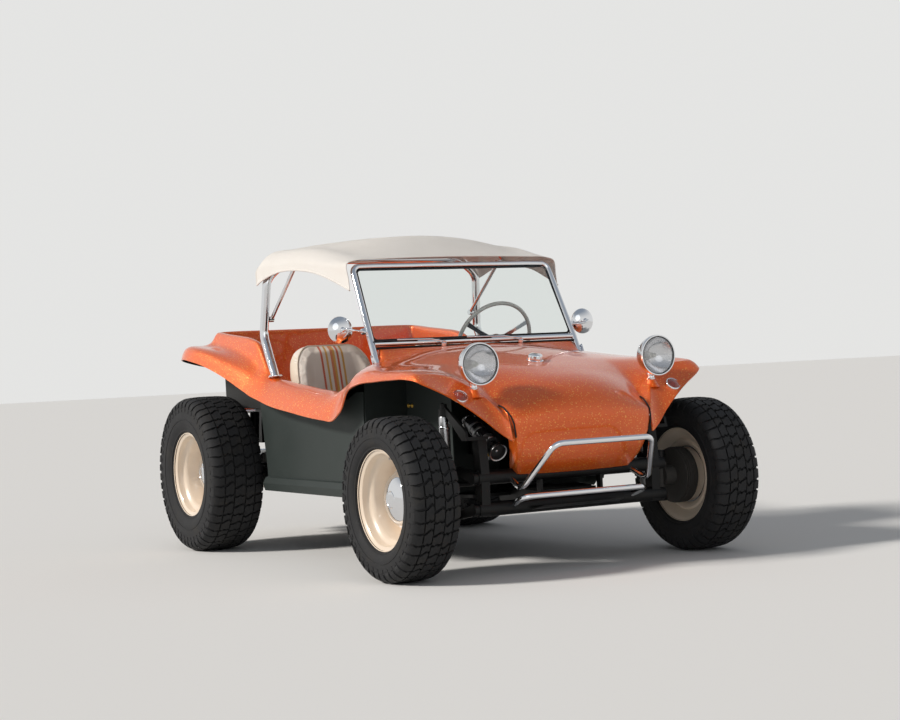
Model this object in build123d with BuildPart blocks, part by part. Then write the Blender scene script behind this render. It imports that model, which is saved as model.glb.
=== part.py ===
from build123d import *
import math
import os

# A short-wheelbase dune buggy: a moulded open body on a rear-engined floor pan.
# Millimetres. +X is forward, +Y is the vehicle's left, +Z is up.
# The origin is on the ground, under the middle of the overall length.

os.makedirs("parts", exist_ok=True)

# Driving dimensions. Stations along the body are measured with the front axle at FRONT_AXLE_X,
# and each finished piece is then set so that the origin is under the middle of the overall length.
OVERALL_LENGTH = 3200
WHEELBASE = 2040
FRONT_OVERHANG = 410
FRONT_AXLE_X = 1190
REAR_AXLE_X = FRONT_AXLE_X - WHEELBASE
FRONT_END_X = FRONT_AXLE_X + FRONT_OVERHANG
REAR_END_X = FRONT_END_X - OVERALL_LENGTH
ORIGIN_X = (FRONT_END_X + REAR_END_X) / 2

# Wheels and tyres
FRONT_TYRE_R = 338
FRONT_TYRE_W = 216
FRONT_WHEEL_Y = 746
FRONT_RIM_HALF = 83
REAR_TYRE_R = 383
REAR_TYRE_W = 267
REAR_WHEEL_Y = 734
REAR_RIM_HALF = 109
RIM_LIP_R = 208
RIM_SEAT_R = 190
RIM_WELL_R = 163
RIM_WALL = 5
TYRE_GAP = 0.3
HUB_FACE_Y = 686
REAR_HUB_FACE_Y = 676
DISC_RISE = 34
HUBCAP_R = 124
HUBCAP_RISE = 56
HUBCAP_SKIRT = 12
HUBCAP_WALL = 3
DRUM_R = 124
DRUM_DEPTH = 62
DRUM_WALL = 10
SPINDLE_R = 17
RUNNING_GAP = 0.3
LUG_DEPTH = 10

# Front suspension and steering
KINGPIN_Y = 560
KINGPIN_R = 18
BACKING_PLATE_T = 4
PLATE_GAP = 5
STEER_ARM_BACK = 120
STEER_ARM_T = 14
TRACK_ROD_R = 11
TRACK_ROD_Z = 366
ROD_EYE_R = 17
BEAM_X = FRONT_AXLE_X + 125
BEAM_TUBE_R = 30
BEAM_LOW_Z = 275
BEAM_HIGH_Z = 405
BEAM_HALF = 455
TRAILING_ARM_T = 26
TOWER_TOP_Z = 560
COLUMN_TILT = 25
COLUMN_R = 20
STEERING_WHEEL_X = 270
STEERING_WHEEL_Y = 285
STEERING_WHEEL_Z = 970
STEERING_WHEEL_R = 195
STEERING_RIM_R = 9

# Floor pan
PAN_Z = 300
PAN_T = 14
PAN_TOP = PAN_Z + PAN_T
PAN_HALF_W = 605
PAN_FRONT_HALF_W = 394
PAN_FRONT_X = 1020
PAN_STEP_X = 640
PAN_REAR_X = -470
TUNNEL_REAR_X = -451
TUNNEL_HALF_W = 70
TUNNEL_H = 130

# Body skin
SKIN = 8
SEAT_GAP = 0.3
TUB_INNER_Y = 548
SEAT_BLOCK = 30
SEAM_GAP = 0.6

PARTS = {}


def keep(builder, name):
    """Sets a finished piece about the origin, labels it and writes it to its own file."""
    piece = builder.part.moved(Location((-ORIGIN_X, 0, 0)))
    piece.label = name
    PARTS[name] = piece
    export_step(piece, f"parts/{name}.step")


def side_name(side):
    return "left" if side > 0 else "right"


def strip_points(points, thickness):
    """The far side of a strip: each point moved square to its neighbours, to the right of the way along."""
    moved = []
    for i, (u, v) in enumerate(points):
        before = points[max(i - 1, 0)]
        after = points[min(i + 1, len(points) - 1)]
        d1 = Vector(u - before[0], v - before[1]) if i > 0 else Vector(after[0] - u, after[1] - v)
        d2 = Vector(after[0] - u, after[1] - v) if i < len(points) - 1 else d1
        n1 = Vector(d1.Y, -d1.X).normalized()
        n2 = Vector(d2.Y, -d2.X).normalized()
        mitre = (n1 + n2).normalized()
        reach = thickness / max(mitre.dot(n1), 0.5)
        moved.append((u + mitre.X * reach, v + mitre.Y * reach))
    return moved


def side_plane(x, side):
    """A sketch plane across the car: u runs outboard from the centre line, v runs up."""
    return Plane(origin=(x, 0, 0), x_dir=(0, side, 0), z_dir=(side, 0, 0))


def wheel_plane(x, y, z, side):
    """A sketch plane through the wheel's axis: u runs outboard along the axle, v runs up."""
    return Plane(origin=(x, y * side, z), x_dir=(0, side, 0), z_dir=(side, 0, 0))


def long_plane(y):
    """A sketch plane along the car: u runs forward, v runs up, and an extrusion goes towards +Y."""
    return Plane(origin=(0, y, 0), x_dir=(-1, 0, 0), z_dir=(0, 1, 0))


def forward(points):
    """Turns forward and up pairs into the sketch pairs of a plane along the car."""
    return [(-x, z) for x, z in points]


def wheel_axis(x, z):
    return Axis((x, 0, z), (0, 1, 0))


def pairs(row):
    """Splits a table row into its station and its (out, up) points."""
    x, *rest = row
    return x, list(zip(rest[0::2], rest[1::2]))


def strip_solid(rows, side, thickness, ruled=True):
    """Lofts one moulded strip through the table's stations, thickened on its hollow side."""
    with BuildPart() as strip:
        for row in rows:
            x, points = pairs(row)
            with BuildSketch(side_plane(x, side)):
                with BuildLine():
                    Polyline(*points, *reversed(strip_points(points, thickness)), close=True)
                make_face()
        loft(ruled=ruled)
    return strip.part


def tube(path_points, radii, tube_r):
    """A bent round bar: straight runs joined by tangent arcs, with one radius for each bend."""
    with BuildPart() as bar:
        with BuildLine() as path:
            FilletPolyline(*path_points, radius=radii)
        with BuildSketch(Plane(path.line @ 0, z_dir=path.line % 0)):
            Circle(tube_r)
        sweep(path=path.line)
    return bar.part


def dome_middle(brim, radius, rise):
    """The middle point of an arc from the brim to the axis, on a circle centred on that axis."""
    ball = (radius ** 2 + rise ** 2) / (2 * abs(rise))
    centre = brim + rise - math.copysign(ball, rise)
    half_turn = math.atan2(radius, (brim - centre) * math.copysign(1, rise)) / 2
    return centre + math.copysign(ball, rise) * math.cos(half_turn), ball * math.sin(half_turn)


def rod(a, b, radius):
    """A round bar from one point to another."""
    run = Vector(*b) - Vector(*a)
    with BuildPart() as bar:
        with BuildSketch(Plane(origin=a, z_dir=run)):
            Circle(radius)
        extrude(amount=run.length)
    return bar.part


# Wheels

def make_tyre(name, x, y, radius, width, rim_half, side):
    half = width / 2
    bead = rim_half - 8
    tread = radius - LUG_DEPTH
    with BuildPart() as tyre:
        with BuildSketch(wheel_plane(x, y, radius, side)):
            with BuildLine():
                Line((-bead, RIM_SEAT_R + TYRE_GAP), (bead, RIM_SEAT_R + TYRE_GAP))
                Line((bead, RIM_SEAT_R + TYRE_GAP), (rim_half - 0.8, RIM_LIP_R + 1))
                ThreePointArc((rim_half - 0.8, RIM_LIP_R + 1), (half, (tread + RIM_LIP_R) / 2), (half - 12, tread - 14))
                Line((half - 12, tread - 14), (half - 30, tread + 4))
                ThreePointArc((half - 30, tread + 4), (0, radius), (30 - half, tread + 4))
                Line((30 - half, tread + 4), (12 - half, tread - 14))
                ThreePointArc((12 - half, tread - 14), (-half, (tread + RIM_LIP_R) / 2), (0.8 - rim_half, RIM_LIP_R + 1))
                Line((0.8 - rim_half, RIM_LIP_R + 1), (-bead, RIM_SEAT_R + TYRE_GAP))
            make_face()
        revolve(axis=wheel_axis(x, radius))
    keep(tyre, name)


def rim_solid(x, y, z, half, hub_u, side):
    """A steel wheel: rolled lips, bead seats, a drop centre, and a disc dished in to the hub face."""
    with BuildPart() as rim:
        with BuildSketch(wheel_plane(x, y, z, side)):
            barrel = [
                (-half, RIM_LIP_R),
                (-half + 7, RIM_SEAT_R),
                (-half + 34, RIM_SEAT_R),
                (-half + 44, RIM_WELL_R),
                (half - 44, RIM_WELL_R),
                (half - 34, RIM_SEAT_R),
                (half - 7, RIM_SEAT_R),
                (half, RIM_LIP_R),
            ]
            with BuildLine():
                Polyline(*barrel, *reversed(strip_points(barrel, RIM_WALL)), close=True)
            make_face()
            disc = [
                (hub_u + DISC_RISE - 6, RIM_WELL_R - 2),
                (hub_u + DISC_RISE, RIM_WELL_R - 18),
                (hub_u + DISC_RISE, HUBCAP_R - 14),
                (hub_u + RIM_WALL, 84),
                (hub_u + RIM_WALL, 34),
            ]
            with BuildLine():
                Polyline(*disc, *reversed(strip_points(disc, RIM_WALL)), close=True)
            make_face()
        revolve(axis=wheel_axis(x, z))
    return rim.part


def hubcap_solid(x, y, z, hub_u, side):
    """A plain domed cap pressed over the disc's raised ring."""
    seat = hub_u + DISC_RISE + SEAT_GAP
    brim = seat + HUBCAP_SKIRT
    rise = HUBCAP_RISE - HUBCAP_SKIRT
    dome_r = (HUBCAP_R ** 2 + rise ** 2) / (2 * rise)
    centre = brim + rise - dome_r
    inner_r = dome_r - HUBCAP_WALL
    inner_brim = HUBCAP_R - HUBCAP_WALL
    half_angle = math.asin(HUBCAP_R / dome_r) / 2
    inner_u = centre + math.sqrt(inner_r ** 2 - inner_brim ** 2)
    inner_half = math.asin(inner_brim / inner_r) / 2
    with BuildPart() as cap:
        with BuildSketch(wheel_plane(x, y, z, side)):
            with BuildLine():
                Line((seat, HUBCAP_R), (brim, HUBCAP_R))
                ThreePointArc(
                    (brim, HUBCAP_R),
                    (centre + dome_r * math.cos(half_angle), dome_r * math.sin(half_angle)),
                    (centre + dome_r, 0),
                )
                Line((centre + dome_r, 0), (centre + inner_r, 0))
                ThreePointArc(
                    (centre + inner_r, 0),
                    (centre + inner_r * math.cos(inner_half), inner_r * math.sin(inner_half)),
                    (inner_u, inner_brim),
                )
                Polyline((inner_u, inner_brim), (seat, inner_brim), (seat, HUBCAP_R))
            make_face()
        revolve(axis=wheel_axis(x, z))
    return cap.part


def drum_solid(x, y, z, hub_u, side):
    """A brake drum with its hub: a cup open inboard, and a hub that runs on the spindle."""
    back = hub_u - SEAT_GAP
    with BuildPart() as drum:
        with BuildSketch(wheel_plane(x, y, z, side)):
            with BuildLine():
                Polyline(
                    (back - DRUM_DEPTH, DRUM_R),
                    (back - 8, DRUM_R),
                    (back, DRUM_R - 12),
                    (back, 32),
                    (back + 30, 32),
                    (back + 30, SPINDLE_R + RUNNING_GAP),
                    (back - DRUM_DEPTH + 14, SPINDLE_R + RUNNING_GAP),
                    (back - DRUM_DEPTH + 14, 36),
                    (back - DRUM_WALL, 36),
                    (back - DRUM_WALL, DRUM_R - DRUM_WALL),
                    (back - DRUM_DEPTH, DRUM_R - DRUM_WALL),
                    close=True,
                )
            make_face()
        revolve(axis=wheel_axis(x, z))
    return drum.part


WHEELS = [
    # end, x, y, tyre radius, tyre width, rim half width, hub face y
    ("front", FRONT_AXLE_X, FRONT_WHEEL_Y, FRONT_TYRE_R, FRONT_TYRE_W, FRONT_RIM_HALF, HUB_FACE_Y),
    ("rear", REAR_AXLE_X, REAR_WHEEL_Y, REAR_TYRE_R, REAR_TYRE_W, REAR_RIM_HALF, REAR_HUB_FACE_Y),
]
for end, wheel_x, wheel_y, tyre_r, tyre_w, rim_half, hub_y in WHEELS:
    for side in (1, -1):
        tag = f"{end}_{side_name(side)}"
        make_tyre(f"tyre_{tag}", wheel_x, wheel_y, tyre_r, tyre_w, rim_half, side)
        rim = rim_solid(wheel_x, wheel_y, tyre_r, rim_half, hub_y - wheel_y, side)
        hubcap = hubcap_solid(wheel_x, wheel_y, tyre_r, hub_y - wheel_y, side)
        drum = drum_solid(wheel_x, wheel_y, tyre_r, hub_y - wheel_y, side)
        with BuildPart() as wheel:
            add(rim)
            add(hubcap)
            add(drum)
        keep(wheel, f"wheel_{tag}")


# Front knuckles: an upright on the kingpin, the spindle, the backing plate and the steering arm

ARM_LOW_END_Z = FRONT_TYRE_R - 92
ARM_HIGH_END_Z = FRONT_TYRE_R + 98
ARM_EYE_HALF = 16
PLATE_Y = HUB_FACE_Y - SEAT_GAP - DRUM_DEPTH - PLATE_GAP
ARM_BOTTOM = TRACK_ROD_Z + ROD_EYE_R + SEAT_GAP


def make_knuckle(side):
    z = FRONT_TYRE_R
    with BuildPart() as knuckle:
        with BuildSketch(Plane(origin=(FRONT_AXLE_X, KINGPIN_Y * side, ARM_LOW_END_Z + ARM_EYE_HALF + SEAT_GAP))):
            Circle(KINGPIN_R)
        extrude(amount=ARM_HIGH_END_Z - ARM_LOW_END_Z - 2 * (ARM_EYE_HALF + SEAT_GAP))
        with BuildSketch(wheel_plane(FRONT_AXLE_X, 0, z, side)):
            with BuildLine():
                Polyline(
                    (KINGPIN_Y, 0),
                    (KINGPIN_Y, 44),
                    (PLATE_Y - BACKING_PLATE_T, 44),
                    (PLATE_Y - BACKING_PLATE_T, DRUM_R - 4),
                    (PLATE_Y, DRUM_R - 4),
                    (PLATE_Y, 30),
                    (PLATE_Y + 14, 30),
                    (PLATE_Y + 14, SPINDLE_R),
                    (HUB_FACE_Y + 40, SPINDLE_R),
                    (HUB_FACE_Y + 40, 0),
                    close=True,
                )
            make_face()
        revolve(axis=wheel_axis(FRONT_AXLE_X, z))
        with BuildSketch(Plane.XY.offset(ARM_BOTTOM)):
            with BuildLine():
                Polyline(
                    (FRONT_AXLE_X + 16, (KINGPIN_Y - 16) * side),
                    (FRONT_AXLE_X + 16, (KINGPIN_Y + 20) * side),
                    (FRONT_AXLE_X - 30, (KINGPIN_Y + 20) * side),
                    (FRONT_AXLE_X - STEER_ARM_BACK, (KINGPIN_Y + 16) * side),
                    (FRONT_AXLE_X - STEER_ARM_BACK - 16, KINGPIN_Y * side),
                    (FRONT_AXLE_X - STEER_ARM_BACK, (KINGPIN_Y - 16) * side),
                    close=True,
                )
            make_face()
        extrude(amount=STEER_ARM_T)
    keep(knuckle, f"knuckle_{side_name(side)}")


for side in (1, -1):
    make_knuckle(side)

# Steering: drop arm behind the box, and one track rod under the three arms' ends

DROP_ARM_X = FRONT_AXLE_X
ROD_X = FRONT_AXLE_X - STEER_ARM_BACK
BOX_BOTTOM = ARM_BOTTOM + STEER_ARM_T + SEAT_GAP

with BuildPart() as drop_arm:
    with BuildSketch(Plane.XY.offset(ARM_BOTTOM)):
        with Locations((DROP_ARM_X, 0)):
            Circle(24)
        with Locations((ROD_X, 0)):
            Circle(18)
        with Locations(((DROP_ARM_X + ROD_X) / 2, 0)):
            Rectangle(STEER_ARM_BACK, 28)
    extrude(amount=STEER_ARM_T)
keep(drop_arm, "drop_arm")

with BuildPart() as track_rod:
    with BuildSketch(Plane.XZ.offset(-KINGPIN_Y)):
        with Locations((ROD_X, TRACK_ROD_Z)):
            Circle(TRACK_ROD_R)
    extrude(amount=2 * KINGPIN_Y)
    for rod_y in (-KINGPIN_Y, 0, KINGPIN_Y):
        with BuildSketch(Plane.XY.offset(TRACK_ROD_Z - ROD_EYE_R)):
            with Locations((ROD_X, rod_y)):
                Circle(ROD_EYE_R)
        extrude(amount=2 * ROD_EYE_R)
keep(track_rod, "track_rod")

COLUMN_DIR = Vector(math.cos(math.radians(COLUMN_TILT)), 0, -math.sin(math.radians(COLUMN_TILT)))
WHEEL_HUB = Vector(STEERING_WHEEL_X, STEERING_WHEEL_Y, STEERING_WHEEL_Z)
COLUMN_START = WHEEL_HUB + COLUMN_DIR * 70
COLUMN_LENGTH = 930

with BuildPart() as steering_wheel:
    rim_plane = Plane(origin=WHEEL_HUB, x_dir=(0, 1, 0), z_dir=COLUMN_DIR)
    with BuildSketch(Plane(origin=WHEEL_HUB, x_dir=(0, 1, 0), z_dir=COLUMN_DIR.cross(Vector(0, 1, 0)))):
        with Locations((STEERING_WHEEL_R, 0)):
            Circle(STEERING_RIM_R)
    revolve(axis=Axis(tuple(WHEEL_HUB), tuple(COLUMN_DIR)))
    with BuildSketch(rim_plane.offset(18)):
        Circle(28)
    extrude(amount=30)
    with BuildSketch(rim_plane.offset(20)):
        with PolarLocations(STEERING_WHEEL_R / 2, 3, 90):
            Rectangle(STEERING_WHEEL_R - 4, 20)
    extrude(amount=-18)
    with BuildSketch(rim_plane.offset(40)):
        Circle(9)
    extrude(amount=120)
keep(steering_wheel, "steering_wheel")

with BuildPart() as steering_column:
    with BuildSketch(Plane(origin=COLUMN_START, x_dir=(0, 1, 0), z_dir=COLUMN_DIR)):
        Circle(COLUMN_R)
    extrude(amount=COLUMN_LENGTH)
    with BuildSketch(Plane(origin=COLUMN_START, x_dir=(0, 1, 0), z_dir=COLUMN_DIR)):
        Circle(9.5)
    extrude(amount=140, mode=Mode.SUBTRACT)

BOX_FRONT = BEAM_X - BEAM_TUBE_R - SEAT_GAP
with BuildPart() as steering_box:
    with BuildSketch(Plane.XY.offset(BOX_BOTTOM)):
        with Locations((DROP_ARM_X, 0)):
            Circle(30)
        with Locations(((DROP_ARM_X + BOX_FRONT) / 2, STEERING_WHEEL_Y / 2)):
            Rectangle(BOX_FRONT - DROP_ARM_X, STEERING_WHEEL_Y + 60)
    extrude(amount=62)
    with BuildSketch(Plane.XY.offset(BOX_BOTTOM + 62)):
        with Locations((1170, STEERING_WHEEL_Y)):
            Rectangle(76, 56)
    extrude(amount=140)
    add(steering_column.part)
keep(steering_box, "steering_column_and_box")

# Front axle beam with its towers, the trailing arms and the dampers

with BuildPart() as front_beam:
    for tube_z in (BEAM_LOW_Z, BEAM_HIGH_Z):
        with BuildSketch(Plane.XZ.offset(-BEAM_HALF)):
            with Locations((BEAM_X, tube_z)):
                Circle(BEAM_TUBE_R)
        extrude(amount=2 * BEAM_HALF)
    for side in (1, -1):
        with BuildSketch(long_plane(side * (BEAM_HALF - 30) - 20)):
            with BuildLine():
                Polyline(
                    *forward([
                        (BEAM_X - 22, BEAM_LOW_Z - 24),
                        (BEAM_X + 22, BEAM_LOW_Z - 24),
                        (BEAM_X + 26, BEAM_HIGH_Z + 20),
                        (BEAM_X + 12, TOWER_TOP_Z),
                        (BEAM_X - 36, TOWER_TOP_Z),
                        (BEAM_X - 30, BEAM_HIGH_Z),
                    ]),
                    close=True,
                )
            make_face()
        extrude(amount=40)
        with BuildSketch(long_plane(side * 150 - 6)):
            with Locations((-BEAM_X, (BEAM_LOW_Z + BEAM_HIGH_Z) / 2)):
                Rectangle(30, BEAM_HIGH_Z - BEAM_LOW_Z)
        extrude(amount=12)

ARM_Y = BEAM_HALF - 3
ARM_END_X = FRONT_AXLE_X

with BuildPart() as front_suspension:
    add(front_beam.part)
    for side in (1, -1):
        start_y = ARM_Y if side > 0 else -ARM_Y - TRAILING_ARM_T
        for arm_z, end_z in ((BEAM_LOW_Z, ARM_LOW_END_Z), (BEAM_HIGH_Z, ARM_HIGH_END_Z)):
            with BuildSketch(long_plane(start_y)):
                with Locations((-BEAM_X, arm_z)):
                    Circle(26)
                with BuildLine():
                    Polyline(
                        *forward([
                            (BEAM_X, arm_z + 24),
                            (ARM_END_X - 10, end_z + ARM_EYE_HALF),
                            (ARM_END_X - 10, end_z - ARM_EYE_HALF),
                            (BEAM_X, arm_z - 24),
                        ]),
                        close=True,
                    )
                make_face()
            extrude(amount=TRAILING_ARM_T)
            with BuildSketch(Plane.XY.offset(end_z - ARM_EYE_HALF)):
                with Locations((ARM_END_X, side * KINGPIN_Y)):
                    Circle(24)
                with Locations((ARM_END_X, side * (ARM_Y + KINGPIN_Y) / 2)):
                    Rectangle(20, KINGPIN_Y - ARM_Y)
            extrude(amount=2 * ARM_EYE_HALF)
keep(front_suspension, "front_beam_and_arms")

# Front dampers: a slim tube on the lower arm's end, a dust cover above, and the tower's bracket

DAMPER_Y = 497
DAMPER_X = 1145
DAMPER_TOP = (1132, 712)
DAMPER_R = 15
DAMPER_COVER_R = 22

with BuildPart() as front_dampers:
    for side in (1, -1):
        with BuildSketch(Plane.XY.offset(ARM_LOW_END_Z)):
            with Locations((DAMPER_X, side * DAMPER_Y)):
                Circle(DAMPER_R)
        extrude(amount=DAMPER_TOP[1] - ARM_LOW_END_Z)
        with BuildSketch(Plane.XY.offset(500)):
            with Locations((DAMPER_X, side * DAMPER_Y)):
                Circle(DAMPER_COVER_R)
        extrude(amount=190)
        with BuildSketch(long_plane(side * DAMPER_Y - 6)):
            with BuildLine():
                Polyline(
                    *forward([
                        (DAMPER_X - 10, DAMPER_TOP[1] - 20),
                        (DAMPER_X - 10, DAMPER_TOP[1] + 4),
                        (BEAM_X + 10, TOWER_TOP_Z + 40),
                        (BEAM_X + 20, TOWER_TOP_Z + SEAT_GAP),
                        (BEAM_X - 20, TOWER_TOP_Z + SEAT_GAP),
                    ]),
                    close=True,
                )
            make_face()
        extrude(amount=12)
        with BuildSketch(Plane.XY.offset(TOWER_TOP_Z + SEAT_GAP)):
            with Locations((BEAM_X, side * (DAMPER_Y + BEAM_HALF - 50) / 2)):
                Rectangle(36, DAMPER_Y - BEAM_HALF + 62)
        extrude(amount=14)
        with BuildSketch(Plane.XY.offset(ARM_LOW_END_Z - 10)):
            with Locations(((DAMPER_X + ARM_END_X - 10 - SEAT_GAP) / 2, side * DAMPER_Y)):
                Rectangle(ARM_END_X - 10 - SEAT_GAP - DAMPER_X, 20)
        extrude(amount=20)

# Floor pan with its tunnel, stepped in behind the front wheels, and the frame head out to the beam

HEAD_HALF_W = 100
HEAD_BOTTOM = 270
HEAD_TOP = 330
HEAD_FRONT_X = BEAM_X - BEAM_TUBE_R - SEAT_GAP

with BuildPart() as floor_pan:
    with BuildSketch(Plane.XY.offset(PAN_Z)):
        with BuildLine():
            Polyline(
                (PAN_REAR_X, -PAN_HALF_W),
                (PAN_STEP_X, -PAN_HALF_W),
                (PAN_STEP_X, -PAN_FRONT_HALF_W),
                (PAN_FRONT_X, -PAN_FRONT_HALF_W + 90),
                (PAN_FRONT_X, PAN_FRONT_HALF_W - 90),
                (PAN_STEP_X, PAN_FRONT_HALF_W),
                (PAN_STEP_X, PAN_HALF_W),
                (PAN_REAR_X, PAN_HALF_W),
                close=True,
            )
        make_face()
    extrude(amount=PAN_T)
    with BuildSketch(Plane.YZ.offset(TUNNEL_REAR_X)):
        with BuildLine():
            Polyline(
                (-TUNNEL_HALF_W, PAN_Z),
                (TUNNEL_HALF_W, PAN_Z),
                (TUNNEL_HALF_W - 16, PAN_TOP + TUNNEL_H),
                (16 - TUNNEL_HALF_W, PAN_TOP + TUNNEL_H),
                close=True,
            )
        make_face()
    extrude(amount=PAN_FRONT_X - 60 - TUNNEL_REAR_X)
    with BuildSketch(Plane.XY.offset(HEAD_BOTTOM)):
        with BuildLine():
            Polyline(
                (PAN_FRONT_X - 120, -HEAD_HALF_W),
                (HEAD_FRONT_X, -HEAD_HALF_W - 50),
                (HEAD_FRONT_X, HEAD_HALF_W + 50),
                (PAN_FRONT_X - 120, HEAD_HALF_W),
                close=True,
            )
        make_face()
    extrude(amount=HEAD_TOP - HEAD_BOTTOM)
keep(floor_pan, "floor_pan")

# Body moulding. Every table gives one side, outboard of the centre line, from the inner edge to the lip.

HOOD_ROWS = [
    # x and z of the centre line, half width, drop of the edge below the centre, tilt of the section
    (560, 966, 402, 34, 0),
    (620, 960, 398, 33, 0),
    (800, 936, 388, 24, 0),
    (960, 906, 376, 20, 0),
    (1120, 866, 364, 18, 0),
    (1200, 844, 361, 36, 6),
    (1278, 820, 360, 58, 12),
    (1345, 794, 357, 76, 22),
    (1405, 758, 351, 80, 38),
    (1450, 712, 345, 66, 58),
    (1473, 655, 341, 40, 80),
    (1468, 580, 333, 26, 100),
    (1442, 505, 318, 16, 112),
    (1405, 450, 302, 12, 125),
    (1358, 405, 275, 6, 150),
]


def hood_solid(thickness, grow=0):
    """The hood from the cowl over the nose: crowned arc sections, square to the centre line."""
    with BuildPart() as shell:
        for x, z, hood_half, drop, tilt in HOOD_ROWS:
            half = hood_half + grow
            lean = math.radians(tilt)
            along = Vector(math.cos(lean), 0, -math.sin(lean))
            with BuildSketch(Plane(origin=(x, 0, z), x_dir=(0, 1, 0), z_dir=along)):
                with BuildLine():
                    ThreePointArc((-half, -drop), (0, 0), (half, -drop))
                    Line((half, -drop), (half, -drop - thickness))
                    ThreePointArc((half, -drop - thickness), (0, -thickness), (-half, -drop - thickness))
                    Line((-half, -drop - thickness), (-half, -drop))
                make_face()
        loft(ruled=True)
    return shell.part


def hood_edge(x):
    """Half width and height of the hood's side edge at one station, with the seam's gap."""
    edge = []
    for centre_x, z, half, drop, tilt in HOOD_ROWS:
        lean = math.radians(tilt)
        edge.append((centre_x - drop * math.sin(lean), half, z - drop * math.cos(lean)))
    for (x0, y0, z0), (x1, y1, z1) in zip(edge, edge[1:]):
        if x0 <= x <= x1:
            part = (x - x0) / (x1 - x0)
            return y0 + part * (y1 - y0) + SEAM_GAP, z0 + part * (z1 - z0)
    raise ValueError("no hood edge there")


hood_shell = hood_solid(SKIN)
hood_seat = hood_solid(SEAT_BLOCK)
hood_clearance = hood_solid(SEAT_BLOCK, SEAM_GAP)
with BuildPart() as hood:
    add(hood_shell)
keep(hood, "hood")

FENDER_REAR_X = 590
TUB_SEAM_X = -470

FENDER_ROWS = [
    # x, rise y z, crest y z, edge y z, lip y z; the inner edge follows the hood's
    (FENDER_REAR_X + SEAT_GAP, 480, 906, 560, 876, 630, 800, 702, 690),
    (660, 480, 908, 560, 884, 640, 840, 702, 775),
    (760, 480, 904, 580, 885, 665, 850, 712, 800),
    (960, 480, 880, 590, 870, 680, 852, 720, 817),
    (1170, 450, 846, 560, 855, 680, 850, 712, 820),
    (1270, 430, 792, 580, 836, 688, 845, 706, 814),
    (1325, 400, 748, 436, 758, 580, 785, 700, 803),
    (1370, 385, 704, 400, 706, 500, 724, 580, 740),
    (1410, 362, 672, 372, 664, 415, 650, 450, 640),
    (1423, 352, 638, 357, 606, 357, 578, 352, 552),
]

SILL_ROWS = [
    # x, wall foot y z, wall top y z, rim y z, shoulder y z, edge y z, lip y z
    (FENDER_REAR_X, 548, 315, 552, 866, 566, 878, 600, 858, 655, 790, 702, 690),
    (491, 548, 315, 556, 806, 588, 820, 620, 800, 665, 735, 702, 646),
    (423, 548, 315, 564, 770, 598, 782, 628, 770, 672, 720, 702, 652),
    (81, 548, 315, 566, 792, 600, 802, 630, 790, 675, 742, 702, 684),
    (-180, 548, 315, 568, 824, 600, 832, 628, 822, 672, 775, 702, 718),
    (-310, 548, 315, 572, 845, 600, 853, 626, 842, 668, 800, 702, 746),
    (-390, 548, 315, 575, 902, 600, 912, 622, 880, 668, 826, 704, 765),
    (TUB_SEAM_X, 548, 315, 577, 968, 600, 978, 618, 915, 672, 856, 706, 793),
]

REAR_FENDER_ROWS = [
    # x, wall foot y z, wall top y z, rim y z, valley y z, edge y z, lip y z
    (TUB_SEAM_X - SEAT_GAP, 548, 690, 577, 968, 600, 978, 618, 915, 672, 856, 706, 793),
    (-530, 548, 690, 565, 1028, 588, 1038, 616, 945, 684, 885, 712, 815),
    (-719, 548, 690, 558, 1048, 584, 1058, 618, 985, 700, 945, 728, 882),
    (-900, 548, 690, 552, 1064, 580, 1074, 618, 1012, 722, 992, 746, 930),
    (-1048, 548, 690, 550, 1080, 576, 1090, 616, 1030, 736, 1016, 758, 958),
    (-1150, 548, 830, 550, 1000, 572, 1010, 612, 1000, 700, 1002, 730, 955),
    (-1220, 548, 900, 550, 950, 570, 964, 610, 972, 680, 980, 700, 955),
]

COWL_CORNER_ROWS = [
    # x, rise y z, cockpit edge y z; the inner edge follows the hood's
    (560, 480, 906, 546, 881),
    (FENDER_REAR_X + SEAT_GAP, 480, 906, 546, 881),
]

fender_rows = [(x, *hood_edge(x), *rest) for x, *rest in FENDER_ROWS]
cowl_rows = [(x, *hood_edge(x), *rest) for x, *rest in COWL_CORNER_ROWS]
fender_seats = {side: strip_solid(fender_rows, side, SEAT_BLOCK) for side in (1, -1)}
cowl_corners = [strip_solid(cowl_rows, side, SKIN) for side in (1, -1)]
fender_strips = [strip_solid(fender_rows, side, SKIN) for side in (1, -1)]
sill_strips = [strip_solid(SILL_ROWS, side, SKIN) for side in (1, -1)]
rear_fender_strips = [strip_solid(REAR_FENDER_ROWS, side, SKIN) for side in (1, -1)]

with BuildPart() as trimmed_fenders:
    for strip in fender_strips + cowl_corners:
        add(strip)
    add(hood_clearance, mode=Mode.SUBTRACT)

# The trim leaves a sliver at each nose tip, so only the two whole fenders are kept
with BuildPart() as front_fenders:
    for fender in trimmed_fenders.solids().sort_by(SortBy.VOLUME)[-2:]:
        add(fender)
keep(front_fenders, "front_fenders")

with BuildPart() as body_sides:
    for strip in sill_strips:
        add(strip)
keep(body_sides, "body_sides")

with BuildPart() as rear_fenders:
    for strip in rear_fender_strips:
        add(strip)
keep(rear_fenders, "rear_fenders")

DECK_LINE = [
    # x, z along the middle: seat bulkhead, rear floor, back wall, rim, tail
    (-452, 315),
    (-470, 660),
    (-500, 688),
    (-1020, 700),
    (-1042, 1080),
    (-1054, 1092),
    (-1076, 1088),
    (-1150, 1000),
    (-1190, 880),
    (-1176, 800),
]

with BuildPart() as rear_deck:
    with BuildSketch(long_plane(-TUB_INNER_Y + SEAT_GAP)):
        with BuildLine():
            line = forward(DECK_LINE)
            Polyline(*line, *reversed(strip_points(line, SKIN)), close=True)
        make_face()
    extrude(amount=2 * (TUB_INNER_Y - SEAT_GAP))
keep(rear_deck, "rear_deck")

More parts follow.
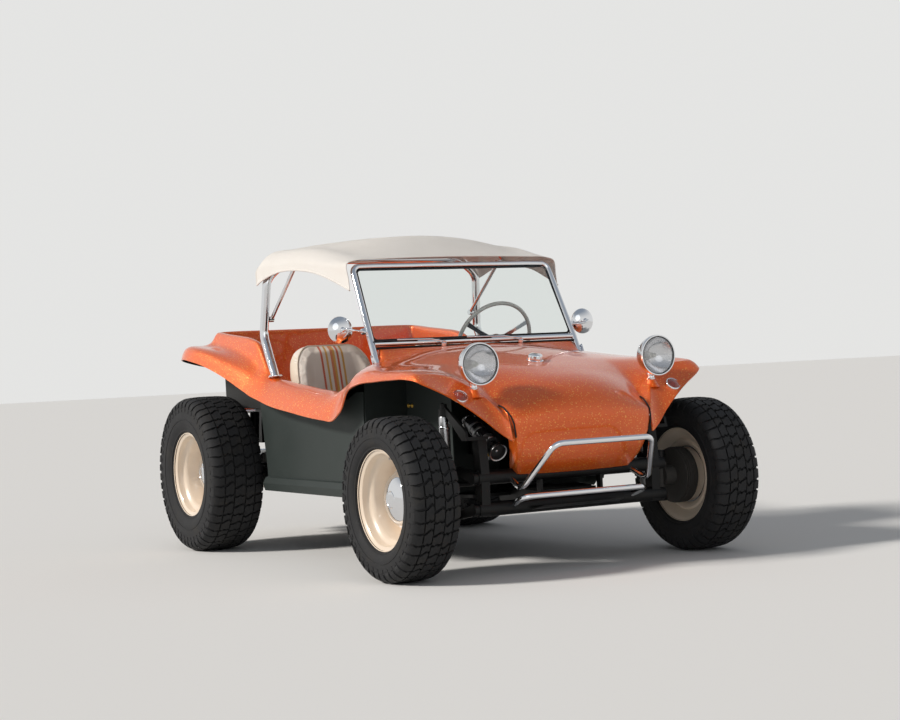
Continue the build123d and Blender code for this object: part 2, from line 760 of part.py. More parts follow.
# Dark inner walls: the footwell's sides under the fenders, and the outer panels under the sills

INNER_WING_Y = 395
INNER_WING_T = 5
INNER_WING_FRONT_X = 1040
BULKHEAD_X = 838
BULKHEAD_T = 5
BULKHEAD_FOOT_Z = PAN_TOP + SEAT_GAP
BULKHEAD_SIDE_Z = 884
BULKHEAD_TOP_Z = 908
TUNNEL_NOTCH_HALF_W = TUNNEL_HALF_W - 15
TUNNEL_NOTCH_Z = PAN_TOP + TUNNEL_H + SEAT_GAP
COLUMN_HOLE_R = COLUMN_R + 12
column_hole_z = STEERING_WHEEL_Z - (BULKHEAD_X - STEERING_WHEEL_X) * math.tan(math.radians(COLUMN_TILT))

with BuildPart() as inner_wings:
    for side in (1, -1):
        start_y = INNER_WING_Y if side > 0 else -INNER_WING_Y - INNER_WING_T
        with BuildSketch(long_plane(start_y)):
            with BuildLine():
                Polyline(
                    *forward([
                        (PAN_STEP_X + SEAT_GAP, PAN_Z),
                        (PAN_STEP_X + SEAT_GAP, 902),
                        (760, 896),
                        (960, 868),
                        (INNER_WING_FRONT_X, 843),
                        (INNER_WING_FRONT_X, 440),
                        (900, PAN_Z),
                    ]),
                    close=True,
                )
            make_face()
        extrude(amount=INNER_WING_T)
        with BuildSketch(side_plane(PAN_STEP_X + SEAT_GAP, side)):
            with BuildLine():
                Polyline(
                    (INNER_WING_Y, PAN_Z),
                    (PAN_HALF_W, PAN_Z),
                    (PAN_HALF_W, 838),
                    (560, 866),
                    (480, 890),
                    (INNER_WING_Y, 902),
                    close=True,
                )
            make_face()
        extrude(amount=INNER_WING_T * side)
    with BuildSketch(Plane.YZ.offset(BULKHEAD_X)):
        with BuildLine():
            Polyline(
                (-INNER_WING_Y, BULKHEAD_SIDE_Z),
                (-INNER_WING_Y, BULKHEAD_FOOT_Z),
                (-TUNNEL_HALF_W, BULKHEAD_FOOT_Z),
                (-TUNNEL_NOTCH_HALF_W, TUNNEL_NOTCH_Z),
                (TUNNEL_NOTCH_HALF_W, TUNNEL_NOTCH_Z),
                (TUNNEL_HALF_W, BULKHEAD_FOOT_Z),
                (INNER_WING_Y, BULKHEAD_FOOT_Z),
                (INNER_WING_Y, BULKHEAD_SIDE_Z),
            )
            ThreePointArc(
                (INNER_WING_Y, BULKHEAD_SIDE_Z),
                (0, BULKHEAD_TOP_Z),
                (-INNER_WING_Y, BULKHEAD_SIDE_Z),
            )
        make_face()
        with Locations((STEERING_WHEEL_Y, column_hole_z)):
            Circle(COLUMN_HOLE_R, mode=Mode.SUBTRACT)
    extrude(amount=BULKHEAD_T)
keep(inner_wings, "inner_wings")

SIDE_PANEL_T = 6
SIDE_PANEL_LINE = [
    # x, z round the panel, from the front foot
    (636, 352),
    (636, 770),
    (570, 770),
    (491, 740),
    (423, 738),
    (81, 764),
    (-310, 812),
    (-440, 860),
    (-472, 740),
    (-417, 400),
    (-417, 352),
]

with BuildPart() as side_panels:
    for side in (1, -1):
        start_y = PAN_HALF_W + SEAT_GAP if side > 0 else -PAN_HALF_W - SEAT_GAP - SIDE_PANEL_T
        with BuildSketch(long_plane(start_y)):
            with BuildLine():
                Polyline(*forward(SIDE_PANEL_LINE), close=True)
            make_face()
        extrude(amount=SIDE_PANEL_T)
        with BuildSketch(side_plane(-417, side)):
            with BuildLine():
                Polyline(
                    (PAN_HALF_W + SEAT_GAP, 300),
                    (PAN_HALF_W + 26, 306),
                    (PAN_HALF_W + 34, 340),
                    (PAN_HALF_W + 20, 366),
                    (PAN_HALF_W + SEAT_GAP, 374),
                    close=True,
                )
            make_face()
        extrude(amount=(636 + 417) * side)
keep(side_panels, "side_panels")

with BuildPart() as dashboard:
    with BuildSketch(Plane.YZ.offset(546)):
        with BuildLine():
            Polyline(
                (-546, 800), (-546, 868), (-480, 894), (-402, 912), (0, 946),
                (402, 912), (480, 894), (546, 868), (546, 800), (0, 790),
                close=True,
            )
        make_face()
    extrude(amount=13.7)
    add(steering_column.part, mode=Mode.SUBTRACT)
keep(dashboard, "dashboard")

# Windshield: a bright frame with legs down to the cowl, and its pane

FRAME_FOOT = Vector(593, 0, 968)
FRAME_HEAD_X = 402
FRAME_HEAD_Z = 1343
FRAME_HALF_TOP = 530
FRAME_HALF_FOOT = 545
FRAME_W = 28
FRAME_T = 22
GLASS_T = 6
FRAME_UP = (Vector(FRAME_HEAD_X, 0, FRAME_HEAD_Z) - FRAME_FOOT).normalized()
FRAME_HEIGHT = (Vector(FRAME_HEAD_X, 0, FRAME_HEAD_Z) - FRAME_FOOT).length
FRAME_PLANE = Plane(origin=FRAME_FOOT, x_dir=(0, 1, 0), z_dir=Vector(0, 1, 0).cross(FRAME_UP))
LEG_DROP = 84

with BuildPart() as windshield_frame:
    with BuildSketch(FRAME_PLANE.offset(-FRAME_T / 2)):
        with BuildLine():
            Polyline(
                (-FRAME_HALF_FOOT, 0),
                (-FRAME_HALF_TOP, FRAME_HEIGHT),
                (FRAME_HALF_TOP, FRAME_HEIGHT),
                (FRAME_HALF_FOOT, 0),
                close=True,
            )
        make_face()
        fillet(vertices().group_by(Axis.Y)[-1], radius=70)
        offset(amount=-FRAME_W, mode=Mode.SUBTRACT)
        with Locations((-FRAME_HALF_FOOT + FRAME_W / 2, -LEG_DROP / 2), (FRAME_HALF_FOOT - FRAME_W / 2, -LEG_DROP / 2)):
            Rectangle(FRAME_W, LEG_DROP)
    extrude(amount=FRAME_T)
    for side in (1, -1):
        add(fender_seats[side], mode=Mode.SUBTRACT)
    add(hood_seat, mode=Mode.SUBTRACT)
keep(windshield_frame, "windshield_frame")

with BuildPart() as windshield_glass:
    with BuildSketch(FRAME_PLANE.offset(-GLASS_T / 2)):
        with BuildLine():
            Polyline(
                (-FRAME_HALF_FOOT, 0),
                (-FRAME_HALF_TOP, FRAME_HEIGHT),
                (FRAME_HALF_TOP, FRAME_HEIGHT),
                (FRAME_HALF_FOOT, 0),
                close=True,
            )
        make_face()
        fillet(vertices().group_by(Axis.Y)[-1], radius=70)
        offset(amount=-FRAME_W - SEAT_GAP, mode=Mode.REPLACE)
    extrude(amount=GLASS_T)
keep(windshield_glass, "windshield_glass")

# Roll bar, with its two feet on the body's rims

ROLL_BAR_R = 21
ROLL_TOP_Z = 1410

roll_tube = tube(
    [
        (-286, 600, 850),
        (-298, 600, 905),
        (-420, 598, 1045),
        (-382, 584, 1325),
        (-382, 480, ROLL_TOP_Z),
        (-382, -480, ROLL_TOP_Z),
        (-382, -584, 1325),
        (-420, -598, 1045),
        (-298, -600, 905),
        (-286, -600, 850),
    ],
    [60, 60, 60, 60, 60, 60, 60, 60],
    ROLL_BAR_R,
)
with BuildPart() as roll_bar:
    add(roll_tube)
    add(body_sides.part, mode=Mode.SUBTRACT)
keep(roll_bar, "roll_bar")

# Canvas top, with its scalloped sides

CANOPY_T = 6
CANOPY_ROWS = [
    # x, half width, edge z, shoulder z, quarter z, crown z
    (418, 552, 1225, 1345, 1364, 1370),
    (300, 566, 1275, 1352, 1392, 1422),
    (170, 582, 1318, 1362, 1424, 1478),
    (-30, 596, 1346, 1380, 1451, 1497),
    (-230, 604, 1346, 1382, 1458, 1502),
    (-400, 618, 1302, 1382, 1450, 1490),
    (-470, 618, 1300, 1364, 1424, 1462),
]
QUARTER_IN = 150


def canopy_side(half, edge, shoulder, quarter, crown, inset):
    """Half outline points of the roof at one station, moved in by the inset."""
    foot = (half - inset, edge)
    turn = (half - inset, shoulder)
    middle = (half - 42 - 0.7 * inset, shoulder + 0.74 * (quarter - shoulder) - 0.7 * inset)
    flat = (half - QUARTER_IN, quarter - inset)
    return foot, turn, middle, flat, (0, crown - inset)


with BuildPart() as canopy:
    for x, *shape in CANOPY_ROWS:
        outer = canopy_side(*shape, 0)
        inner = canopy_side(*shape, CANOPY_T)
        with BuildSketch(Plane.YZ.offset(x)):
            with BuildLine():
                for foot, turn, middle, flat, top in (outer, inner):
                    Line((-foot[0], foot[1]), (-turn[0], turn[1]))
                    ThreePointArc((-turn[0], turn[1]), (-middle[0], middle[1]), (-flat[0], flat[1]))
                    ThreePointArc((-flat[0], flat[1]), top, flat)
                    ThreePointArc(flat, middle, turn)
                    Line(turn, foot)
                Line(outer[0], inner[0])
                Line((-outer[0][0], outer[0][1]), (-inner[0][0], inner[0][1]))
            make_face()
    loft(ruled=True)
keep(canopy, "canopy")

STRUT_Y = 558
STRUT_R = 9
STRUT_FOOT = (-408, 1130)
STRUT_HEAD = (-110, 1366)
STRUT_BOSS_R = 14
BOW_W = 16
BOW_T = 12
BOW_GAP = 0.7
BOW_SHAPE = (598.8, 1346, 1380.5, 1453.2, 1498.6)
ROLL_BAR_INNER_Y = 594 - ROLL_BAR_R

strut_bars = [
    rod((STRUT_FOOT[0], side * STRUT_Y, STRUT_FOOT[1]), (STRUT_HEAD[0], side * STRUT_Y, STRUT_HEAD[1]), STRUT_R)
    for side in (1, -1)
]
with BuildPart() as top_struts:
    for bar in strut_bars:
        add(bar)
    for side in (1, -1):
        for (boss_x, boss_z), boss_end in (
            (STRUT_FOOT, ROLL_BAR_INNER_Y - SEAT_GAP),
            (STRUT_HEAD, BOW_SHAPE[0] - CANOPY_T - BOW_GAP - BOW_T / 2),
        ):
            with BuildSketch(Plane.XZ.offset(-side * (STRUT_Y - STRUT_R))):
                with Locations((boss_x, boss_z)):
                    Circle(STRUT_BOSS_R)
            extrude(amount=-side * (boss_end - STRUT_Y + STRUT_R))
    with BuildSketch(Plane.YZ.offset(STRUT_HEAD[0] - BOW_W / 2)):
        with BuildLine():
            for inset in (CANOPY_T + BOW_GAP, CANOPY_T + BOW_GAP + BOW_T):
                foot, turn, middle, flat, top = canopy_side(*BOW_SHAPE, inset)
                Line((-foot[0], foot[1]), (-turn[0], turn[1]))
                ThreePointArc((-turn[0], turn[1]), (-middle[0], middle[1]), (-flat[0], flat[1]))
                ThreePointArc((-flat[0], flat[1]), top, flat)
                ThreePointArc(flat, middle, turn)
                Line(turn, foot)
            outer_foot = canopy_side(*BOW_SHAPE, CANOPY_T + BOW_GAP)[0]
            inner_foot = canopy_side(*BOW_SHAPE, CANOPY_T + BOW_GAP + BOW_T)[0]
            Line(outer_foot, inner_foot)
            Line((-outer_foot[0], outer_foot[1]), (-inner_foot[0], inner_foot[1]))
        make_face()
    extrude(amount=BOW_W)
    add(roll_bar.part, mode=Mode.SUBTRACT)
keep(top_struts, "top_struts")

# Seats: low-backed buckets on pedestals

SEAT_Y = 325
SEAT_HALF_W = 210
SEAT_BASE_Z = 372
SEAT_TOP_Z = 1002
SEAT_CORNER_R = 95
SEAT_LINE = [
    # x, z round the seat's side, from the front foot
    (180, SEAT_BASE_Z),
    (195, 500),
    (170, 552),
    (-90, 530),
    (-160, 600),
    (-210, 800),
    (-246, 970),
    (-290, SEAT_TOP_Z),
    (-336, 976),
    (-318, 700),
    (-270, SEAT_BASE_Z),
]
SEAT_FEET_X = (-230, 120)

with BuildPart() as seats:
    for side in (1, -1):
        with BuildSketch(long_plane(side * SEAT_Y - SEAT_HALF_W)):
            with BuildLine():
                Polyline(*forward(SEAT_LINE), close=True)
            make_face()
        extrude(amount=2 * SEAT_HALF_W)
    fillet(seats.edges().filter_by(Axis.Y).group_by(Axis.Z)[-1], radius=20)
    with BuildSketch(Plane.YZ.offset(-TUB_INNER_Y)):
        with Locations((-SEAT_Y, SEAT_TOP_Z / 2), (SEAT_Y, SEAT_TOP_Z / 2)):
            RectangleRounded(2 * SEAT_HALF_W, SEAT_TOP_Z, SEAT_CORNER_R)
    extrude(amount=2 * TUB_INNER_Y, mode=Mode.INTERSECT)
keep(seats, "seats")

with BuildPart() as seat_pedestals:
    for side in (1, -1):
        for foot_x in SEAT_FEET_X:
            with BuildSketch(Plane.XY.offset(PAN_TOP + SEAT_GAP)):
                with Locations((foot_x, side * SEAT_Y)):
                    Rectangle(40, 340)
            extrude(amount=SEAT_BASE_Z - PAN_TOP - 2 * SEAT_GAP)
keep(seat_pedestals, "seat_pedestals")

# Lamps, mirrors and the filler cap

HEADLIGHT_FACE_X = 1371
HEADLIGHT_Y = 444
HEADLIGHT_Z = 871
HEADLIGHT_R = 88

HEADLIGHT_DEPTH = 104
LENS_R = HEADLIGHT_R - 8
LENS_RISE = 18
BUCKET_WALL = 4
headlight_axis = Axis((0, HEADLIGHT_Y, HEADLIGHT_Z), (1, 0, 0))
HEADLIGHT_PLANE = Plane(origin=(HEADLIGHT_FACE_X, HEADLIGHT_Y, HEADLIGHT_Z), x_dir=(1, 0, 0), z_dir=(0, -1, 0))

with BuildPart() as headlight_lens:
    with BuildSketch(HEADLIGHT_PLANE):
        with BuildLine():
            Polyline((-14, 0), (-14, LENS_R), (-4, LENS_R))
            ThreePointArc((-4, LENS_R), dome_middle(-4, LENS_R, LENS_RISE), (LENS_RISE - 4, 0))
            Line((LENS_RISE - 4, 0), (-14, 0))
        make_face()
    revolve(axis=headlight_axis)
    mirror(about=Plane.XZ)
keep(headlight_lens, "headlight_lenses")

headlight_stem = rod((1312, HEADLIGHT_Y, 800), (1312, HEADLIGHT_Y, 762), 15)
bucket_back = -18 - HEADLIGHT_DEPTH
with BuildPart() as headlight_buckets:
    with BuildSketch(HEADLIGHT_PLANE):
        with BuildLine():
            Polyline((-18, LENS_R + SEAT_GAP), (0, LENS_R + SEAT_GAP), (0, HEADLIGHT_R), (-18, HEADLIGHT_R))
            ThreePointArc((-18, HEADLIGHT_R), dome_middle(-18, HEADLIGHT_R, -HEADLIGHT_DEPTH), (bucket_back, 0))
            Line((bucket_back, 0), (bucket_back + BUCKET_WALL, 0))
            ThreePointArc(
                (bucket_back + BUCKET_WALL, 0),
                dome_middle(-18, LENS_R + SEAT_GAP, BUCKET_WALL - HEADLIGHT_DEPTH),
                (-18, LENS_R + SEAT_GAP),
            )
        make_face()
    revolve(axis=headlight_axis)
    add(headlight_stem)
    add(fender_seats[1], mode=Mode.SUBTRACT)
    mirror(about=Plane.XZ)
keep(headlight_buckets, "headlight_buckets")

SIGNAL_PLANE = Plane(origin=(1344, 532, 738), x_dir=(0, 1, 0), z_dir=(0.7, 0, 0.714))
with BuildPart() as turn_signals:
    with BuildSketch(SIGNAL_PLANE):
        Circle(33)
    extrude(amount=16)
    add(fender_seats[1], mode=Mode.SUBTRACT)
    mirror(about=Plane.XZ)
keep(turn_signals, "turn_signals")

TAIL_LAMP_Y = 430
TAIL_LAMP_R = 40
TAIL_LAMP_DEPTH = 28
TAIL_TOP = Vector(DECK_LINE[-3][0], 0, DECK_LINE[-3][1])
TAIL_FOOT = Vector(DECK_LINE[-2][0], 0, DECK_LINE[-2][1])
TAIL_OUT = (TAIL_FOOT - TAIL_TOP).cross(Vector(0, -1, 0)).normalized()
TAIL_SEAT = TAIL_TOP + (TAIL_FOOT - TAIL_TOP) * 0.58 + TAIL_OUT * SEAT_GAP + Vector(0, TAIL_LAMP_Y, 0)
TAIL_PLANE = Plane(origin=TAIL_SEAT, x_dir=(0, 1, 0), z_dir=TAIL_OUT)
with BuildPart() as tail_lamps:
    with BuildSketch(TAIL_PLANE):
        Circle(TAIL_LAMP_R)
    extrude(amount=TAIL_LAMP_DEPTH)
    mirror(about=Plane.XZ)
keep(tail_lamps, "tail_lamps")

MIRROR_X = 500
MIRROR_OUT = 98
MIRROR_Z = 1047
MIRROR_R = 60
MIRROR_ARM_Z = 1035
MIRROR_ARM_R = 5
leg_share = (MIRROR_ARM_Z - FRAME_FOOT.Z) / (FRAME_HEAD_Z - FRAME_FOOT.Z)
leg_x = FRAME_FOOT.X + leg_share * (FRAME_HEAD_X - FRAME_FOOT.X)
leg_y = FRAME_HALF_FOOT + leg_share * (FRAME_HALF_TOP - FRAME_HALF_FOOT)
mirror_y = leg_y + MIRROR_OUT
mirror_arms = [
    rod((MIRROR_X + 24, side * mirror_y, MIRROR_Z), (leg_x, side * (leg_y - 10), MIRROR_ARM_Z), MIRROR_ARM_R)
    for side in (1, -1)
]
with BuildPart() as door_mirrors:
    with BuildSketch(Plane(origin=(MIRROR_X, mirror_y, MIRROR_Z), x_dir=(1, 0, 0), z_dir=(0, -1, 0))):
        with BuildLine():
            Line((0, 0), (0, MIRROR_R))
            Line((0, MIRROR_R), (8, MIRROR_R))
            ThreePointArc((8, MIRROR_R), (26, 0.65 * MIRROR_R), (32, 0))
            Line((32, 0), (0, 0))
        make_face()
    revolve(axis=Axis((0, mirror_y, MIRROR_Z), (1, 0, 0)))
    mirror(about=Plane.XZ)
    for arm in mirror_arms:
        add(arm)
    add(windshield_frame.part, mode=Mode.SUBTRACT)
keep(door_mirrors, "mirrors")

CAP_PLANE = Plane(origin=(1083, 0, 868), x_dir=(0, 1, 0), z_dir=(0.25, 0, 0.968))
with BuildPart() as filler_cap:
    with BuildSketch(CAP_PLANE):
        Circle(44)
    extrude(amount=14)
    with BuildSketch(CAP_PLANE.offset(14)):
        Circle(33)
    extrude(amount=18)
    with BuildSketch(CAP_PLANE.offset(32)):
        Rectangle(58, 12)
    extrude(amount=9)
    add(hood_seat, mode=Mode.SUBTRACT)
keep(filler_cap, "filler_cap")

TANK_FRONT_X = 1115
TANK_REAR_X = 850
TANK_BOTTOM = 480
TANK_TOP = 700
TANK_HALF_W = 235
with BuildPart() as fuel_tank:
    with BuildSketch(Plane.XY.offset(TANK_BOTTOM)):
        with Locations(((TANK_FRONT_X + TANK_REAR_X) / 2, 0)):
            RectangleRounded(TANK_FRONT_X - TANK_REAR_X, 2 * TANK_HALF_W, 40)
    extrude(amount=TANK_TOP - TANK_BOTTOM)
    with BuildSketch(Plane.XY.offset(TANK_TOP)):
        with Locations((1075, 0)):
            Circle(26)
    extrude(amount=156)
    with BuildSketch(Plane.XY.offset((TANK_BOTTOM + TANK_TOP) / 2)):
        with Locations(((TANK_FRONT_X + TANK_REAR_X) / 2, 0)):
            Rectangle(60, 2 * (INNER_WING_Y - SEAT_GAP))
    extrude(amount=4)
keep(fuel_tank, "fuel_tank")

with BuildPart() as horn:
    add(rod((1107, -360, 637), (1330, -360, 511), 34))
    with BuildSketch(Plane(origin=(1330, -360, 511), z_dir=(223, 0, -126))):
        Circle(40)
        Circle(32, mode=Mode.SUBTRACT)
    extrude(amount=16)
    with BuildSketch(Plane.XY.offset(510)):
        with Locations((1300, -388)):
            Rectangle(26, 34)
    extrude(amount=36)
    add(front_beam.part, mode=Mode.SUBTRACT)
keep(horn, "horn")

# Bumpers

BUMPER_R = 12.5
HOOP_X = FRONT_END_X - BUMPER_R
front_hoop = tube(
    [
        (1441, -250, 322),
        (1434, -326, 326),
        (HOOP_X, -238, 538),
        (HOOP_X, 238, 538),
        (1434, 326, 326),
        (1441, 250, 322),
    ],
    [40, 60, 60, 40],
    BUMPER_R,
)
front_bar = rod((1441, -251, 322), (1441, 251, 322), BUMPER_R)
front_brackets = [rod((1436, side * 150, 320), (1330, side * 150, 280), 10) for side in (1, -1)]
with BuildPart() as front_bumper:
    add(front_hoop)
    add(front_bar)
    for bracket in front_brackets:
        add(bracket)
    add(front_beam.part, mode=Mode.SUBTRACT)
keep(front_bumper, "front_bumper")

# Rear axle, gearbox and the torsion housing with its horns

TORSION_X = -520
TORSION_Z = 335
TORSION_R = 42
HORN_TOP = 335
HORN_REAR_X = -1010
with BuildPart() as torsion_housing:
    with BuildSketch(Plane.XZ.offset(-500)):
        with Locations((TORSION_X, TORSION_Z)):
            Circle(TORSION_R)
    extrude(amount=1000)
    for side in (1, -1):
        with BuildSketch(Plane.XY.offset(HORN_TOP - 50)):
            with BuildLine():
                Polyline(
                    (TORSION_X, side * 150),
                    (TORSION_X, side * 210),
                    (HORN_REAR_X, side * 240),
                    (HORN_REAR_X, side * 190),
                    close=True,
                )
            make_face()
        extrude(amount=50)
    with BuildSketch(Plane.XZ.offset(-60)):
        with Locations(((TORSION_X + PAN_REAR_X) / 2, TORSION_Z - 10)):
            Rectangle(PAN_REAR_X - TORSION_X - 2 * SEAT_GAP, 40)
    extrude(amount=120)

GEARBOX_ROWS = [
    # x, width, height, centre z
    (-566, 110, 110, 372),
    (-700, 150, 150, 378),
    (-770, 200, 190, 383),
    (-920, 200, 190, 383),
    (-960, 300, 300, 395),
    (-1000, 330, 330, 400),
]
with BuildPart() as gearbox:
    for x, width, height, z in GEARBOX_ROWS:
        with BuildSketch(Plane.YZ.offset(x)):
            with Locations((0, z)):
                RectangleRounded(width, height, 0.3 * height)
    loft(ruled=True)
    with BuildSketch(Plane.YZ.offset(-566)):
        with Locations((0, 372)):
            Rectangle(60, 60)
    extrude(amount=TORSION_R + 4)
    add(torsion_housing.part, mode=Mode.SUBTRACT)
keep(gearbox, "gearbox")

REAR_PLATE_Y = REAR_HUB_FACE_Y - SEAT_GAP - DRUM_DEPTH - PLATE_GAP
AXLE_TUBE_R = 32
with BuildPart() as rear_axle:
    for side in (1, -1):
        with BuildSketch(wheel_plane(REAR_AXLE_X, 0, REAR_TYRE_R, side)):
            with BuildLine():
                Polyline(
                    (100.3, 0),
                    (100.3, 60),
                    (150, 52),
                    (170, AXLE_TUBE_R),
                    (540, AXLE_TUBE_R),
                    (548, 58),
                    (REAR_PLATE_Y - BACKING_PLATE_T, 58),
                    (REAR_PLATE_Y - BACKING_PLATE_T, DRUM_R - 4),
                    (REAR_PLATE_Y, DRUM_R - 4),
                    (REAR_PLATE_Y, 30),
                    (REAR_PLATE_Y + 14, 30),
                    (REAR_PLATE_Y + 14, SPINDLE_R),
                    (REAR_HUB_FACE_Y + 40, SPINDLE_R),
                    (REAR_HUB_FACE_Y + 40, 0),
                    close=True,
                )
            make_face()
        revolve(axis=wheel_axis(REAR_AXLE_X, REAR_TYRE_R))
        with BuildSketch(long_plane(side * 520 - 5)):
            with BuildLine():
                Polyline(
                    *forward([
                        (TORSION_X + 40, TORSION_Z + 44),
                        (TORSION_X + 40, TORSION_Z - 44),
                        (REAR_AXLE_X + 40, REAR_TYRE_R - 46),
                        (REAR_AXLE_X - 40, REAR_TYRE_R - 40),
                        (REAR_AXLE_X - 40, REAR_TYRE_R + 40),
                        (REAR_AXLE_X + 40, REAR_TYRE_R + 46),
                    ]),
                    close=True,
                )
            make_face()
        extrude(amount=10)
        with BuildSketch(Plane.XZ.offset(-side * 510 - 10)):
            with Locations((TORSION_X, TORSION_Z)):
                Circle(36)
        extrude(amount=20)
    add(torsion_housing.part)
keep(rear_axle, "rear_axle")

REAR_DAMPER_Y = 470
REAR_DAMPER_R = 24
REAR_DAMPER_LEAN = 8
REAR_DAMPER_DOWN = 62
REAR_DAMPER_UP = 292
damper_along = Vector(math.sin(math.radians(REAR_DAMPER_LEAN)), 0, math.cos(math.radians(REAR_DAMPER_LEAN)))
damper_back = (AXLE_TUBE_R + REAR_DAMPER_R + SEAT_GAP) / damper_along.Z
rear_damper_bars = []
for side in (1, -1):
    beside_axle = Vector(REAR_AXLE_X - damper_back, side * REAR_DAMPER_Y, REAR_TYRE_R)
    damper_foot = beside_axle - damper_along * REAR_DAMPER_DOWN
    damper_head = beside_axle + damper_along * REAR_DAMPER_UP
    rear_damper_bars.append(rod(tuple(damper_foot), tuple(damper_head), REAR_DAMPER_R))
with BuildPart() as dampers:
    for bar in rear_damper_bars:
        add(bar)
    add(rear_axle.part, mode=Mode.SUBTRACT)
    add(rear_deck.part, mode=Mode.SUBTRACT)
    add(front_dampers.part)
keep(dampers, "dampers")

# Engine: case, finned barrels and heads, fan shroud, generator with pulleys, intake and exhaust

ENGINE_FRONT_X = -1000.3
CRANK_Z = 400
with BuildPart() as engine_case:
    with BuildSketch(Plane.YZ.offset(ENGINE_FRONT_X)):
        with BuildLine():
            Polyline(
                (-120, 300), (120, 300), (98, 350), (98, 450), (70, 500),
                (-70, 500), (-98, 450), (-98, 350), close=True,
            )
        make_face()
    extrude(amount=-360)
    with BuildSketch(Plane.YZ.offset(ENGINE_FRONT_X - 360)):
        with Locations((0, CRANK_Z)):
            Circle(24)
    extrude(amount=-22)

BARREL_X = [-1105, -1255]
FIN_COUNT = 7
with BuildPart() as barrels:
    for side in (1, -1):
        for barrel_x in BARREL_X:
            with BuildSketch(wheel_plane(barrel_x, 0, CRANK_Z, side)):
                with BuildLine():
                    fins = [(90, 0), (90, 46)]
                    for i in range(FIN_COUNT):
                        u = 108 + i * 26
                        fins += [(u, 46), (u, 60), (u + 9, 60), (u + 9, 46)]
                    fins += [(304, 46), (304, 0)]
                    Polyline(*fins, close=True)
                make_face()
            revolve(axis=wheel_axis(barrel_x, CRANK_Z))

with BuildPart() as heads:
    for side in (1, -1):
        with BuildSketch(side_plane(-1020, side)):
            with BuildLine():
                Polyline(
                    (300, CRANK_Z - 60), (300, CRANK_Z + 64), (372, CRANK_Z + 56),
                    (410, CRANK_Z + 24), (410, CRANK_Z - 52), (372, CRANK_Z - 66), close=True,
                )
            make_face()
        extrude(amount=-320 * side)

with BuildPart() as engine:
    add(engine_case.part)
    add(barrels.part)
    add(heads.part)
keep(engine, "engine_block")

SHROUD_REAR_X = -1158
SHROUD_DEPTH = 84
with BuildPart() as fan_shroud:
    with BuildSketch(Plane.YZ.offset(SHROUD_REAR_X)):
        with BuildLine():
            Polyline((-250, 850), (-330, 760), (-345, 600), (-345, 506), (345, 506), (345, 600), (330, 760), (250, 850))
            ThreePointArc((250, 850), (0, 872), (-250, 850))
        make_face()
    extrude(amount=SHROUD_DEPTH)
keep(fan_shroud, "fan_shroud")

GENERATOR_Y = -70
GENERATOR_Z = 660
PULLEY_X = -1392
with BuildPart() as generator:
    with BuildSketch(Plane.YZ.offset(SHROUD_REAR_X - SEAT_GAP)):
        with Locations((GENERATOR_Y, GENERATOR_Z)):
            Circle(50)
    extrude(amount=-190)
    with BuildSketch(Plane.YZ.offset(SHROUD_REAR_X - 190)):
        with Locations((GENERATOR_Y, GENERATOR_Z)):
            Circle(14)
    extrude(amount=PULLEY_X - SHROUD_REAR_X + 190)
    with BuildSketch(Plane.XY.offset(500 + SEAT_GAP)):
        with Locations((-1250, -40)):
            Rectangle(90, 60)
    extrude(amount=130)

PULLEY_W = 22
BELT_W = 12
PULLEYS = [
    # y, z, radius
    (0, CRANK_Z, 86),
    (GENERATOR_Y, GENERATOR_Z, 56),
]
with BuildPart() as pulleys:
    for pulley_y, pulley_z, pulley_r in PULLEYS:
        with BuildSketch(Plane.YZ.offset(PULLEY_X)):
            with Locations((pulley_y, pulley_z)):
                Circle(pulley_r)
        extrude(amount=-PULLEY_W)
    with BuildSketch(Plane.YZ.offset(PULLEY_X - (PULLEY_W - BELT_W) / 2)):
        for pulley_y, pulley_z, pulley_r in PULLEYS:
            with Locations((pulley_y, pulley_z)):
                Circle(pulley_r + 4)
        make_hull()
    extrude(amount=-BELT_W)
    add(generator.part)
keep(pulleys, "generator_and_pulleys")

CARB_X = -1215
CARB_Y = 90
INTAKE_R = 18
intake_pipes = [
    tube(
        [(-1180, side * 350, CRANK_Z + 50), (-1180, side * 350, 545), (-1205, side * 250, 560), (CARB_X, CARB_Y, 560)],
        [30, 40],
        INTAKE_R,
    )
    for side in (1, -1)
]
with BuildPart() as intake:
    for pipe in intake_pipes:
        add(pipe)
    with BuildSketch(Plane.XY.offset(545)):
        with Locations((CARB_X, CARB_Y)):
            Rectangle(70, 60)
    extrude(amount=120)
    with BuildSketch(Plane.XY.offset(665)):
        with Locations((CARB_X - 30, CARB_Y)):
            Circle(84)
    extrude(amount=66)
    add(heads.part, mode=Mode.SUBTRACT)
    add(generator.part, mode=Mode.SUBTRACT)
keep(intake, "intake_and_air_cleaner")

MUFFLER_X = -1478
MUFFLER_Z = 322
MUFFLER_R = 58
MUFFLER_HALF = 255
HEADER_R = 20
header_pipes = [
    tube(
        [
            (port_x, side * 345, CRANK_Z - 50),
            (port_x, side * 345, 290),
            (MUFFLER_X + 110, side * out_y, 275),
            (MUFFLER_X, side * out_y, MUFFLER_Z - 20),
        ],
        [35, 45],
        HEADER_R,
    )
    for side in (1, -1)
    for port_x, out_y in ((-1060, 225), (-1300, 175))
]
TAIL_PIPE_R = 17
TAIL_PIPE_BORE_R = 15
TAIL_PIPE_Y = 120
TAIL_PIPE_Z = MUFFLER_Z - 22
TAIL_PIPE_END_X = MUFFLER_X - 116
TAIL_BORE_DEPTH = 50
TAIL_STUB_R = 20.5
TAIL_STUB_END_X = MUFFLER_X - 70
tail_stubs = [
    rod((MUFFLER_X - 40, side * TAIL_PIPE_Y, TAIL_PIPE_Z), (TAIL_STUB_END_X, side * TAIL_PIPE_Y, TAIL_PIPE_Z), TAIL_STUB_R)
    for side in (1, -1)
]
